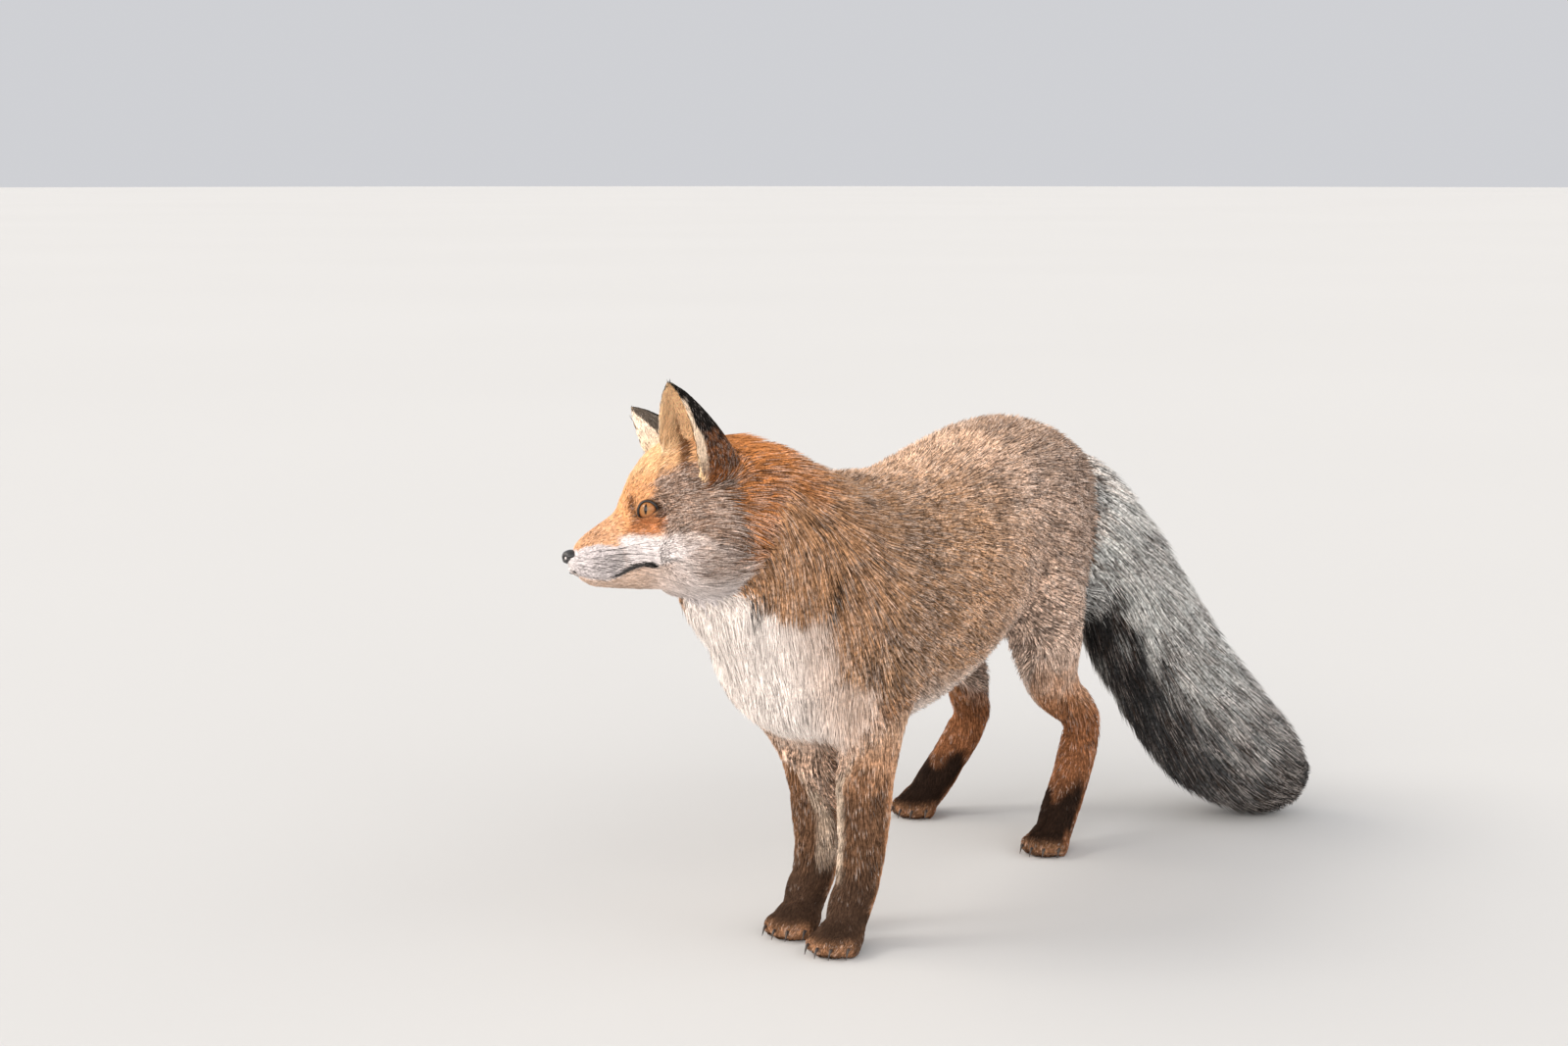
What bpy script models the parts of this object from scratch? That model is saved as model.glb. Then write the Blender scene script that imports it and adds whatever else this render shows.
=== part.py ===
"""A standing red fox at life size, looking round to its right: its winter coat's outline, as closed solids.

Metres. X runs from the chest (-) to the tail (+), +Y is the animal's right, +Z is up, and it stands on Z = 0.
The coat is modelled as one form and then parted with thin cuts into head, neck, trunk, tail, legs and paws.
"""

import math

import bmesh
import bpy
import numpy as np
from mathutils import Matrix, Vector

# ---------------------------------------------------------------- driving sizes
SHOULDER_X, HIP_X = -0.193, 0.193
SIDES = {"left": -1, "right": 1}
GAP = 0.0003  # what a cut takes out between two pieces

HEAD_CENTRE = Vector((-0.336, 0.0515, 0.3585))  # between the eyes and the ears, inside the skull
HEAD_TURN, HEAD_NOD, HEAD_TILT = math.radians(49.5), math.radians(9.7), math.radians(13.2)

EYE = Vector((0.0290, 0.0250, 0.0165))  # the left eyeball's centre, in the head's own axes
EYE_RADIUS = 0.0086
NOSE = Vector((0.0920, 0.0, -0.0055))
NOSE_SIZE = Vector((0.0066, 0.0080, 0.0062))

EAR_ROOT = Vector((0.000, 0.036, 0.032))  # the middle of the opening's rim, inside the scalp
EAR_TIP = {"left": Vector((0.0000, 0.0590, 0.1060)), "right": Vector((0.0085, -0.0590, 0.1050))}
EAR_RADIUS, EAR_WRAP = 0.0270, (138, 95)  # half the wrap in degrees, at the root and at the tip
EAR_THICKNESS = 0.0042
EAR_FACES = math.radians(28)  # how far outwards from straight ahead the ear opens

FORELEG_Y = {"left": (0.050, 0.046, 0.045, 0.040), "right": (0.032, 0.016, 0.012, 0.013)}  # elbow to wrist
FORE_FOOT = {"left": Vector((-0.224, -0.034, 0)), "right": Vector((-0.190, 0.020, 0))}
HIND_FOOT = {"left": Vector((0.156, -0.081, 0)), "right": Vector((0.243, 0.086, 0))}
HOCK = {"left": Vector((0.234, -0.086, 0.100)), "right": Vector((0.272, 0.040, 0.100))}
SHIN_Y = {"left": 0.068, "right": 0.036}
PAW_HALF_WIDTH = 0.0215

TAIL_FULLNESS = 0.066  # the brush's radius at its widest

COAT_VOXEL, COAT_TRIANGLES = 0.0042, 4300

# ------------------------------------------------------------------- materials
COLOURS = {
    "orange_coat": ((0.56, 0.27, 0.11), 0.85),
    "brown_coat": ((0.36, 0.24, 0.15), 0.85),
    "grey_coat": ((0.30, 0.27, 0.25), 0.85),
    "dark_coat": ((0.07, 0.05, 0.045), 0.8),
    "iris": ((0.45, 0.20, 0.04), 0.08),
    "nose_leather": ((0.015, 0.014, 0.015), 0.35),
}


def material(name):
    found = bpy.data.materials.get(name)
    if found:
        return found
    made = bpy.data.materials.new(name)
    made.use_nodes = True
    colour, roughness = COLOURS[name]
    shader = made.node_tree.nodes["Principled BSDF"]
    shader.inputs["Base Color"].default_value = (*colour, 1)
    shader.inputs["Roughness"].default_value = roughness
    shader.inputs["Metallic"].default_value = 0.0
    made.diffuse_color = (*colour, 1)
    return made


# ------------------------------------------------------------------ mesh tools
def flowing(rows, steps):
    """A smooth curve through rows of numbers, with this many steps from each row to the next."""
    rows = np.asarray(rows, float)
    before = np.vstack([2 * rows[0] - rows[1], rows[:-1]])
    after = np.vstack([rows[1:], 2 * rows[-1] - rows[-2]])
    made = []
    for i in range(len(rows) - 1):
        slope, next_slope = (after[i] - before[i]) / 2, (after[i + 1] - before[i + 1]) / 2
        for t in np.arange(steps) / steps:
            made.append(
                (2 * t**3 - 3 * t**2 + 1) * rows[i]
                + (t**3 - 2 * t**2 + t) * slope
                + (3 * t**2 - 2 * t**3) * rows[i + 1]
                + (t**3 - t**2) * next_slope
            )
    return np.array([*made, rows[-1]])


def tube(stations, top, along=None, around=32, steps=5):
    """A closed tube. A station is x, y, z, half width, reach to the top's side and reach to the other side.

    Its rings stand square to its own course, or to the direction given as along."""
    rows = flowing(stations, steps)
    centres, sizes = rows[:, :3], np.maximum(rows[:, 3:], 0.001)
    tangents = np.gradient(centres, axis=0) if along is None else [along] * len(rows)
    mesh = bmesh.new()
    rings = []
    for centre, tangent, (half_width, above, below) in zip(centres, tangents, sizes, strict=True):
        side = top.cross(Vector(tangent)).normalized()
        upward = Vector(tangent).cross(side).normalized()
        ring = []
        for turn in np.arange(around) * math.tau / around:
            reach = above if math.sin(turn) > 0 else below
            offset = side * half_width * math.cos(turn) + upward * reach * math.sin(turn)
            ring.append(mesh.verts.new(Vector(centre) + offset))
        rings.append(ring)
    for ring, following in zip(rings, rings[1:], strict=False):
        for i in range(around):
            j = (i + 1) % around
            mesh.faces.new((ring[i], ring[j], following[j], following[i]))
    mesh.faces.new(rings[0][::-1])
    mesh.faces.new(rings[-1])
    bmesh.ops.recalc_face_normals(mesh, faces=mesh.faces)
    return mesh


def ball(centre, radii, turned=None, subdivisions=3):
    """An ellipsoid, turned about its own centre by a rotation matrix."""
    mesh = bmesh.new()
    place = Matrix.Translation(centre) @ (turned or Matrix()) @ Matrix.Diagonal((*radii, 1))
    bmesh.ops.create_icosphere(mesh, subdivisions=subdivisions, radius=1.0, matrix=place)
    return mesh


def box(centre, size, turned=None):
    mesh = bmesh.new()
    place = Matrix.Translation(centre) @ (turned or Matrix()) @ Matrix.Diagonal((*size, 1))
    bmesh.ops.create_cube(mesh, size=1.0, matrix=place)
    return mesh


def object_of(name, meshes, matrix=None):
    """One object that holds these bmeshes side by side, moved by a matrix."""
    joined = bmesh.new()
    for mesh in meshes:
        loose = bpy.data.meshes.new("loose")
        mesh.to_mesh(loose)
        mesh.free()
        if matrix is not None:
            loose.transform(matrix)
        joined.from_mesh(loose)
        bpy.data.meshes.remove(loose)
    data = bpy.data.meshes.new(name)
    joined.to_mesh(data)
    joined.free()
    made = bpy.data.objects.new(name, data)
    bpy.context.scene.collection.objects.link(made)
    return made


def finished_mesh(thing):
    """The mesh as its modifiers leave it."""
    bpy.context.view_layer.update()
    graph = bpy.context.evaluated_depsgraph_get()
    return bpy.data.meshes.new_from_object(thing.evaluated_get(graph))


def settle(thing):
    """Applies all modifiers."""
    made = finished_mesh(thing)
    thing.modifiers.clear()
    thing.data = made


def cut(thing, cutter, keep=False):
    """Takes the cutter's shape out of the thing, and the cutter out of the scene unless it is kept."""
    boolean = thing.modifiers.new("cut", "BOOLEAN")
    boolean.operation = "DIFFERENCE"
    boolean.object = cutter
    settle(thing)
    if not keep:
        bpy.data.objects.remove(cutter)


def grown(name, thing, by):
    """A copy of the thing with its surface moved outwards."""
    copy = bpy.data.objects.new(name, thing.data.copy())
    bpy.context.scene.collection.objects.link(copy)
    swell = copy.modifiers.new("swell", "DISPLACE")
    swell.strength = by
    swell.mid_level = 0.0
    settle(copy)
    return copy


# ---------------------------------------------------------------- the coat's form
def head_matrix():
    """Takes the head's own axes (X to the nose, Y to its left, Z up) to the model's."""
    facing = Matrix.Rotation(math.pi - HEAD_TURN, 4, "Z")
    bowed = Matrix.Rotation(HEAD_NOD, 4, "Y") @ Matrix.Rotation(HEAD_TILT, 4, "X")
    return Matrix.Translation(HEAD_CENTRE) @ facing @ bowed


def head_form():
    """Muzzle, brow, skull and the fur of the cheeks, in the head's own axes."""
    # forward, half width, top, bottom
    outline = [
        (0.0960, 0.0075, -0.0040, -0.0150),
        (0.0900, 0.0110, 0.0016, -0.0230),
        (0.0800, 0.0140, 0.0088, -0.0310),
        (0.0680, 0.0165, 0.0150, -0.0350),
        (0.0560, 0.0190, 0.0194, -0.0380),
        (0.0480, 0.0220, 0.0262, -0.0400),
        (0.0390, 0.0262, 0.0403, -0.0420),
        (0.0290, 0.0320, 0.0526, -0.0450),
        (0.0160, 0.0420, 0.0630, -0.0520),
        (0.0000, 0.0520, 0.0690, -0.0600),
        (-0.0200, 0.0580, 0.0690, -0.0630),
        (-0.0400, 0.0550, 0.0640, -0.0600),
        (-0.0600, 0.0420, 0.0500, -0.0500),
        (-0.0700, 0.0250, 0.0330, -0.0330),
    ]
    profile = []
    for forward, half_width, top, bottom in outline:
        middle = (top + bottom) / 2
        profile.append((forward, 0, middle, half_width, top - middle, middle - bottom))
    parts = [tube(profile, Vector((0, 0, 1)), along=Vector((-1, 0, 0)))]
    for side in (1, -1):
        parts.append(ball((-0.012, side * 0.028, -0.021), (0.044, 0.037, 0.038)))  # cheek ruff
    return parts


def neck_form():
    stations = [
        (-0.165, 0.000, 0.290, 0.080, 0.088, 0.100),
        (-0.215, 0.005, 0.318, 0.086, 0.078, 0.110),
        (-0.258, 0.020, 0.345, 0.086, 0.071, 0.098),
        (-0.292, 0.032, 0.366, 0.072, 0.066, 0.080),
        (-0.320, 0.046, 0.374, 0.058, 0.056, 0.064),
    ]
    return tube(stations, Vector((0, 0, 1)))


def trunk_form():
    # along, sideways, half width, top of the back, bottom of the chest and belly
    outline = [
        (-0.290, 0.008, 0.036, 0.330, 0.225),
        (-0.268, 0.006, 0.062, 0.352, 0.192),
        (-0.235, 0.003, 0.080, 0.375, 0.172),
        (-0.193, 0.000, 0.088, 0.388, 0.162),
        (-0.110, 0.000, 0.095, 0.384, 0.158),
        (-0.020, 0.000, 0.096, 0.380, 0.162),
        (0.070, 0.000, 0.090, 0.390, 0.176),
        (0.140, 0.000, 0.085, 0.399, 0.195),
        (0.200, 0.000, 0.087, 0.402, 0.215),
        (0.245, 0.000, 0.086, 0.401, 0.238),
        (0.280, 0.000, 0.080, 0.390, 0.260),
        (0.308, 0.000, 0.060, 0.368, 0.285),
        (0.324, 0.000, 0.030, 0.350, 0.310),
    ]
    stations = []
    for along, sideways, half_width, back, belly in outline:
        middle = belly + 0.55 * (back - belly)
        stations.append((along, sideways, middle, half_width, back - middle, middle - belly))
    return tube(stations, Vector((0, 0, 1)), along=Vector((1, 0, 0)))


def tail_form():
    """The brush: it leaves the rump downwards, swings to the left and lies on the floor with its end."""
    stations = []
    # centre, share of the full radius
    for x, y, z, fullness in (
        (0.255, 0.005, 0.345, 0.60),
        (0.297, -0.030, 0.322, 0.82),
        (0.318, -0.075, 0.262, 0.90),
        (0.340, -0.122, 0.168, 0.98),
        (0.362, -0.172, 0.090, 1.00),
        (0.380, -0.212, 0.054, 0.86),
        (0.391, -0.240, 0.038, 0.62),
        (0.398, -0.256, 0.030, 0.30),
    ):
        radius = TAIL_FULLNESS * fullness
        stations.append((x, y, z, radius, radius, radius))
    return tube(stations, Vector((-1, 0, 0)))


def muscle_forms(side):
    """The shoulder and the thigh under the coat of one side."""
    shoulder = ball((SHOULDER_X + 0.005, side * 0.060, 0.270), (0.062, 0.034, 0.090))
    thigh = ball((HIP_X + 0.010, side * 0.058, 0.278), (0.088, 0.036, 0.092))
    return [shoulder, thigh]


def leg_form(stations, side):
    """A leg from its joints downwards: each row has half width, reach to the front and reach to the rear."""
    placed = [(x, side * y, z, width, front, rear) for x, y, z, width, front, rear in stations]
    return tube(placed, Vector((-1, 0, 0)))


def foreleg_form(name):
    side, foot = SIDES[name], FORE_FOOT[name]
    x, y = foot.x + 0.020, side * foot.y
    elbow_y, forearm_y, wrist_y, pastern_y = FORELEG_Y[name]
    stations = [
        (SHOULDER_X - 0.015, 0.050, 0.340, 0.026, 0.030, 0.040),
        (SHOULDER_X - 0.022, 0.058, 0.290, 0.032, 0.045, 0.058),
        (SHOULDER_X - 0.012, 0.052, 0.235, 0.033, 0.046, 0.055),
        (x, elbow_y, 0.180, 0.0275, 0.0340, 0.0370),
        (x, forearm_y, 0.140, 0.0250, 0.0260, 0.0280),
        (x, wrist_y, 0.098, 0.0220, 0.0220, 0.0230),
        (x, pastern_y, 0.055, 0.0190, 0.0190, 0.0190),
        (x - 0.004, y, 0.030, 0.0180, 0.0190, 0.0190),
        (x - 0.012, y, 0.010, 0.0150, 0.0150, 0.0150),
    ]
    return leg_form(stations, side)


def hindleg_form(name):
    side, foot, hock = SIDES[name], HIND_FOOT[name], HOCK[name]
    y, hock_y = abs(foot.y), abs(hock.y)
    ankle = foot.lerp(hock, 0.22)
    shank = foot.lerp(hock, 0.62)
    stations = [
        (HIP_X + 0.018, 0.045, 0.350, 0.026, 0.050, 0.045),
        (HIP_X + 0.004, 0.054, 0.300, 0.036, 0.066, 0.066),
        (HIP_X - 0.008, 0.060, 0.245, 0.038, 0.064, 0.066),
        (hock.x - 0.058, 0.066, 0.200, 0.0350, 0.0480, 0.0540),
        (hock.x - 0.038, SHIN_Y[name], 0.152, 0.0250, 0.0320, 0.0320),
        (hock.x - 0.014, hock_y, 0.122, 0.0200, 0.0240, 0.0190),
        (hock.x - 0.006, hock_y, 0.100, 0.0195, 0.0220, 0.0170),
        (shank.x, abs(shank.y), 0.062, 0.0180, 0.0190, 0.0190),
        (ankle.x, abs(ankle.y), 0.028, 0.0180, 0.0195, 0.0190),
        (foot.x + 0.004, y, 0.010, 0.0150, 0.0150, 0.0150),
    ]
    return leg_form(stations, side)


def paw_form(foot):
    """The pad's mass and four toes, the middle two furthest forward."""
    parts = [ball(foot + Vector((0.0, 0, 0.013)), (0.0230, PAW_HALF_WIDTH * 0.92, 0.0165))]
    for place in (-1.5, -0.5, 0.5, 1.5):
        forward = 0.021 if abs(place) < 1 else 0.013
        spread = place * PAW_HALF_WIDTH * 0.50
        centre = foot + Vector((-forward, spread, 0.0085))
        splay = Matrix.Rotation(-place * 0.10, 4, "Z")
        parts.append(ball(centre, (0.0145, PAW_HALF_WIDTH * 0.33, 0.0105), splay))
    return parts


def ear_form(name, around=12, along=8):
    """A deep cup that narrows to a point: an outer and an inner face, joined along the rim."""
    side, root, tip = -SIDES[name], Vector(EAR_ROOT), EAR_TIP[name]
    root.y *= side
    rise = (tip - root).normalized()
    ahead = Vector((math.cos(EAR_FACES), side * math.sin(EAR_FACES), 0))
    ahead = (ahead - rise * ahead.dot(rise)).normalized()
    across = rise.cross(ahead).normalized()
    length = (tip - root).length
    mesh = bmesh.new()
    layers = []
    for inward in (0.0, EAR_THICKNESS):
        rows = []
        for share in np.arange(along + 1) / along:
            wrap = math.radians(EAR_WRAP[0] + (EAR_WRAP[1] - EAR_WRAP[0]) * share)
            radius = max(EAR_RADIUS * (1 - share**1.9) ** 0.75 + 0.0022 - inward * (1 - 0.6 * share), 0.0008)
            rim = root + rise * length * share * (1 - inward)
            row = []
            for turn in np.linspace(-wrap, wrap, around + 1):
                offset = across * radius * math.sin(turn) + ahead * radius * (math.cos(wrap) - math.cos(turn))
                row.append(mesh.verts.new(rim + offset))
            rows.append(row)
        layers.append(rows)
    for layer in layers:
        for row, following in zip(layer, layer[1:], strict=False):
            for j in range(around):
                mesh.faces.new((row[j], row[j + 1], following[j + 1], following[j]))
    outer, inner = layers
    for i in range(along):
        for j in (0, around):
            mesh.faces.new((outer[i][j], outer[i + 1][j], inner[i + 1][j], inner[i][j]))
    for i in (0, along):
        for j in range(around):
            mesh.faces.new((outer[i][j], outer[i][j + 1], inner[i][j + 1], inner[i][j]))
    bmesh.ops.recalc_face_normals(mesh, faces=mesh.faces)
    return mesh


def whole_coat():
    """Every form of the body fused into one closed skin."""
    parts = [neck_form(), trunk_form(), tail_form()]
    for name in SIDES:
        parts += [foreleg_form(name), hindleg_form(name), *muscle_forms(SIDES[name])]
        parts += paw_form(FORE_FOOT[name]) + paw_form(HIND_FOOT[name])
    coat = object_of("coat", parts)
    head = object_of("head_form", head_form(), head_matrix())
    both = bmesh.new()
    both.from_mesh(coat.data)
    both.from_mesh(head.data)
    both.to_mesh(coat.data)
    both.free()
    bpy.data.objects.remove(head)
    fuse = coat.modifiers.new("fuse", "REMESH")
    fuse.mode = "VOXEL"
    fuse.voxel_size = COAT_VOXEL
    settle(coat)
    soft = coat.vertex_groups.new(name="soft")
    for vertex in coat.data.vertices:
        above_paws = min(max((vertex.co.z - 0.05) / 0.10, 0), 1)
        behind_face = min(max((vertex.co.x + 0.33) / 0.06, 0), 1)
        soft.add([vertex.index], above_paws * behind_face, "REPLACE")
    ease = coat.modifiers.new("ease", "SMOOTH")
    ease.factor, ease.iterations = 0.5, 3
    blend = coat.modifiers.new("blend", "SMOOTH")
    blend.factor, blend.iterations, blend.vertex_group = 0.5, 30, "soft"
    thin = coat.modifiers.new("thin", "DECIMATE")
    thin.ratio = COAT_TRIANGLES / (2 * len(coat.data.polygons))
    settle(coat)
    return coat


# ------------------------------------------------------------------- the solids
def slab(centre, normal, reach):
    """A thin square plate, square to the normal, that parts the coat where it passes."""
    turned = normal.to_track_quat("Z", "Y").to_matrix().to_4x4()
    return object_of("slab", [box(centre, (*reach, GAP), turned)])


def loose_pieces(thing):
    """The unconnected pieces of a mesh, as bmeshes, each with its centre."""
    whole = bmesh.new()
    whole.from_mesh(thing.data)
    todo = set(whole.faces)
    pieces = []
    while todo:
        reached, edge = set(), [next(iter(todo))]
        while edge:
            face = edge.pop()
            if face in reached:
                continue
            reached.add(face)
            edge += [other for corner in face.verts for other in corner.link_faces if other not in reached]
        todo -= reached
        piece = bmesh.new()
        places = {}
        for face in sorted(reached, key=lambda f: f.index):
            corners = []
            for corner in face.verts:
                if corner not in places:
                    places[corner] = piece.verts.new(corner.co)
                corners.append(places[corner])
            piece.faces.new(corners)
        pieces.append((piece, sum((v.co for v in piece.verts), Vector()) / len(piece.verts)))
    whole.free()
    return sorted(pieces, key=lambda entry: tuple(entry[1]))


def cuts():
    """The plates that part the coat: centre, normal and reach."""
    planes = [
        (Vector((-0.312, 0.024, 0.360)), Vector((-0.84, 0.45, 0.30)), (0.20, 0.20)),
        (Vector((-0.225, 0.005, 0.300)), Vector((-0.77, 0, 0.63)), (0.28, 0.28)),
        (Vector((0.295, -0.027, 0.291)), Vector((0.85, -0.50, -0.20)), (0.17, 0.184)),
        (Vector((0.340, -0.122, 0.168)), Vector((0.17, -0.40, -0.84)), (0.14, 0.14)),
        (Vector((0.367, -0.184, 0.080)), Vector((0.30, -0.65, -0.70)), (0.16, 0.16)),
    ]
    for name, side in SIDES.items():
        fore, hind, hock = FORE_FOOT[name] + Vector((0.020, 0, 0)), HIND_FOOT[name], HOCK[name]
        elbow_y = FORELEG_Y[name][0] + 0.004
        elbow = Vector((fore.x, side * elbow_y, 0.172 + 1.02 * (elbow_y - 0.050)))
        knee = Vector((hock.x - 0.050, side * 0.066, 0.178))
        planes += [
            (elbow, Vector((0, -side * 0.714, 0.70)), (0.12, 0.140)),
            (Vector((fore.x, side * FORELEG_Y[name][3], 0.046)), Vector((0.15, 0, 1)), (0.07, 0.05)),
            (knee, Vector((0, -side * 0.66, 0.75)), (0.14, 0.146)),
            (hind.lerp(hock, 0.86), hock - hind, (0.07, 0.07)),
        ]
    return planes


def names_and_places():
    """Each piece of the coat: its name, material and about where its middle is."""
    pieces = [
        ("head", "orange_coat", HEAD_CENTRE),
        ("neck", "orange_coat", Vector((-0.245, 0.010, 0.320))),
        ("trunk", "brown_coat", Vector((0.020, 0.000, 0.280))),
        ("tail_base", "grey_coat", Vector((0.318, -0.075, 0.265))),
        ("tail_middle", "grey_coat", Vector((0.352, -0.150, 0.125))),
        ("tail_tip", "dark_coat", Vector((0.385, -0.220, 0.050))),
    ]
    for name, side in SIDES.items():
        fore, hind, hock = FORE_FOOT[name], HIND_FOOT[name], HOCK[name]
        pieces += [
            ("foreleg_" + name, "orange_coat", fore + Vector((0.020, 0, 0.110))),
            ("forepaw_" + name, "dark_coat", fore + Vector((0, 0, 0.018))),
            ("hindleg_" + name, "orange_coat", Vector((hock.x - 0.040, side * 0.065, 0.155))),
            ("hindfoot_" + name, "dark_coat", hind.lerp(hock, 0.35)),
        ]
    return pieces


def dressed(thing, material_name):
    """Gives a piece its material, and smooth shading to all but its large or many-sided cut faces."""
    thing.data.materials.clear()
    thing.data.materials.append(material(material_name))
    for face in thing.data.polygons:
        face.use_smooth = len(face.vertices) < 5 and face.area < 4e-4
        face.material_index = 0


def stand_on_floor(things):
    """Puts the middle of the whole box's underside at the origin."""
    corners = np.array([tuple(v.co) for thing in things for v in thing.data.vertices])
    low, high = corners.min(axis=0), corners.max(axis=0)
    move = Matrix.Translation((-(low[0] + high[0]) / 2, -(low[1] + high[1]) / 2, -low[2]))
    for thing in things:
        thing.data.transform(move)


def main():
    for thing in list(bpy.data.objects):
        bpy.data.objects.remove(thing)
    coat = whole_coat()
    cut(coat, object_of("below_floor", [box((0, 0, -0.05), (1.2, 0.8, 0.1))]))
    scalp = grown("scalp", coat, GAP)

    things = []
    for name, side in SIDES.items():
        eye_place = (EYE.x, -side * EYE.y, EYE.z)
        ear = object_of("ear_" + name, [ear_form(name)], head_matrix())
        cut(ear, scalp, keep=True)
        eye = object_of("eye_" + name, [ball(eye_place, [EYE_RADIUS] * 3)], head_matrix())
        cut(coat, object_of("socket", [ball(eye_place, [EYE_RADIUS + GAP] * 3)], head_matrix()))
        dressed(ear, "dark_coat")
        dressed(eye, "iris")
        things += [ear, eye]
    bpy.data.objects.remove(scalp)
    nose = object_of("nose", [ball(NOSE, NOSE_SIZE)], head_matrix())
    cut(coat, object_of("nose_seat", [ball(NOSE, NOSE_SIZE + Vector([GAP] * 3))], head_matrix()))
    dressed(nose, "nose_leather")
    things.append(nose)

    for centre, normal, reach in cuts():
        cut(coat, slab(centre, normal, reach))
    pieces = loose_pieces(coat)
    bpy.data.objects.remove(coat)
    for name, material_name, place in names_and_places():
        piece = min(pieces, key=lambda entry: (entry[1] - place).length)[0]
        thing = object_of(name, [piece])
        dressed(thing, material_name)
        things.append(thing)
    stand_on_floor(things)


main()
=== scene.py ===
"""The looks of a standing red fox: one skin, a coat of solid tufts, eyes, nose, lips, claws and whiskers.

Metres. The head's own axes are X to the nose, Y to the animal's left and Z up. The body's own axes are the
frame's: X from the chest to the tail, Y to the animal's right and Z up.
"""

import math

import bmesh
import bpy
import numpy as np
from mathutils import Matrix, Vector
from mathutils.bvhtree import BVHTree
from mathutils.kdtree import KDTree


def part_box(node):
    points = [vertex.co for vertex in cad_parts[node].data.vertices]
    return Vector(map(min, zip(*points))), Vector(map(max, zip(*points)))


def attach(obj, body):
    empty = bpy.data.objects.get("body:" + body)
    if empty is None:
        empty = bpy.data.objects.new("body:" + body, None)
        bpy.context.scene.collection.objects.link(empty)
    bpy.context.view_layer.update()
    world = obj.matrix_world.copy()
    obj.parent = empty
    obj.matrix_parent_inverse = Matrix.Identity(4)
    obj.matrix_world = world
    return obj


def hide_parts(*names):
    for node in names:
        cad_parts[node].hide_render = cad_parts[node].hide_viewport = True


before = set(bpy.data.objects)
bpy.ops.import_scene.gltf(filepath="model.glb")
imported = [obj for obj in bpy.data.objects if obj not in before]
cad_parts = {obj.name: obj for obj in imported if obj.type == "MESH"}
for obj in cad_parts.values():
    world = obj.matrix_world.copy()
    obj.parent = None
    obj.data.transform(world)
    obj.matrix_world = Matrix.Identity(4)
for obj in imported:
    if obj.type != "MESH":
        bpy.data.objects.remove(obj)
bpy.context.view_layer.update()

# ---------------------------------------------------------------- the head's place
HEAD_TURN, HEAD_NOD, HEAD_TILT = math.radians(49.5), math.radians(9.7), math.radians(13.2)
EYE = np.array((0.0290, 0.0250, 0.0165))  # the left eyeball's centre, in the head's axes
EYE_RADIUS = 0.0086
NOSE = np.array((0.0920, 0.0, -0.0055))
NOSE_SIZE = np.array((0.0066, 0.0080, 0.0062))
HEAD_IN_BODY = np.array((-0.336, 0.0515, 0.3585))

TURNED = (
    Matrix.Rotation(math.pi - HEAD_TURN, 3, "Z")
    @ Matrix.Rotation(HEAD_NOD, 3, "Y")
    @ Matrix.Rotation(HEAD_TILT, 3, "X")
)
HEAD_AXES = np.array(TURNED)
low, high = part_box("eye_left")
HEAD = np.array((low + high) / 2) - HEAD_AXES @ EYE  # the head's origin in the frame
BODY = HEAD - HEAD_IN_BODY  # the body's origin in the frame

FLESH = tuple(n for n in sorted(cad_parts) if n not in ("eye_left", "eye_right", "nose"))
KINDS = np.array([n if n.startswith("tail") else n.split("_")[0] for n in FLESH])  # without left or right

# ------------------------------------------------------------------- the skin
WELD, GROWTH = 0.00002, 0.0004  # points this near are one; how far the solids grow before they are fused
SKIN_VOXEL = 0.0019
SKIN_SHARE = 0.30  # of the skin's triangles that stay; those given up are the body's
STEPS_INWARD = 8  # from the coat's outline down to the skin
OUTLINE_ROUNDS, FIELD_ROUNDS, SHADE_ROUNDS = 8, 36, 16  # of smoothing: outline, coat's fields, shading
SKIN_FLOOR, COAT_FLOOR = 0.0012, 0.0003  # lowest places of the skin and of the tufts

# ------------------------------------------------------------------- the coat
TUFTS = {  # how many tufts each piece of the coat has
    "coat_face": 32500,
    "coat_crown": 30000,
    "coat_neck": 33000,
    "coat_shoulders": 31000,
    "coat_flanks": 31000,
    "coat_rump": 29000,
    "coat_brush": 33000,
    "coat_forelegs": 14000,
    "coat_hindlegs": 15500,
}
# depth of the coat, length of a tuft, width of a tuft, tufts for an area, how far tufts gather into locks
STYLE = {
    "trunk": (0.0135, 0.0215, 0.00115, 1.0, 0.20),
    "neck": (0.0165, 0.0280, 0.00120, 1.0, 0.30),
    "tail_base": (0.0200, 0.0350, 0.00140, 1.0, 0.42),
    "tail_middle": (0.0225, 0.0400, 0.00150, 1.0, 0.46),
    "tail_tip": (0.0215, 0.0390, 0.00150, 1.1, 0.46),
    "foreleg": (0.0038, 0.0120, 0.00090, 1.0, 0.10),
    "forepaw": (0.0016, 0.0060, 0.00080, 1.7, 0.05),
    "hindleg": (0.0060, 0.0165, 0.00100, 1.0, 0.14),
    "hindfoot": (0.0022, 0.0080, 0.00085, 1.4, 0.05),
    "ear": (0.0012, 0.0062, 0.00065, 2.4, 0.03),
}
FRAY = (-0.30, 0.12)  # how far a tuft's tip may end from the solids' outline, in shares of the coat's depth
ROUNDNESS = 1.05  # how far the light sees a tuft's two sides turned apart
SPARE = 1.06  # tufts placed for each one wanted, as those over the eyes, lips and nose are left out
LOCK_SIZE = 22  # tufts that lean together
FINE_PIECES = ("coat_face", "coat_crown")  # with finer hair
FINE_SHARED, SHARED = 2, 5  # tufts of one tone, on the fine pieces and on the others
ROOT_DEPTH = 0.0006  # of a tuft's root in the skin
PATCH = 0.0015  # half a tuft's patch on the unwrap

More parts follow.
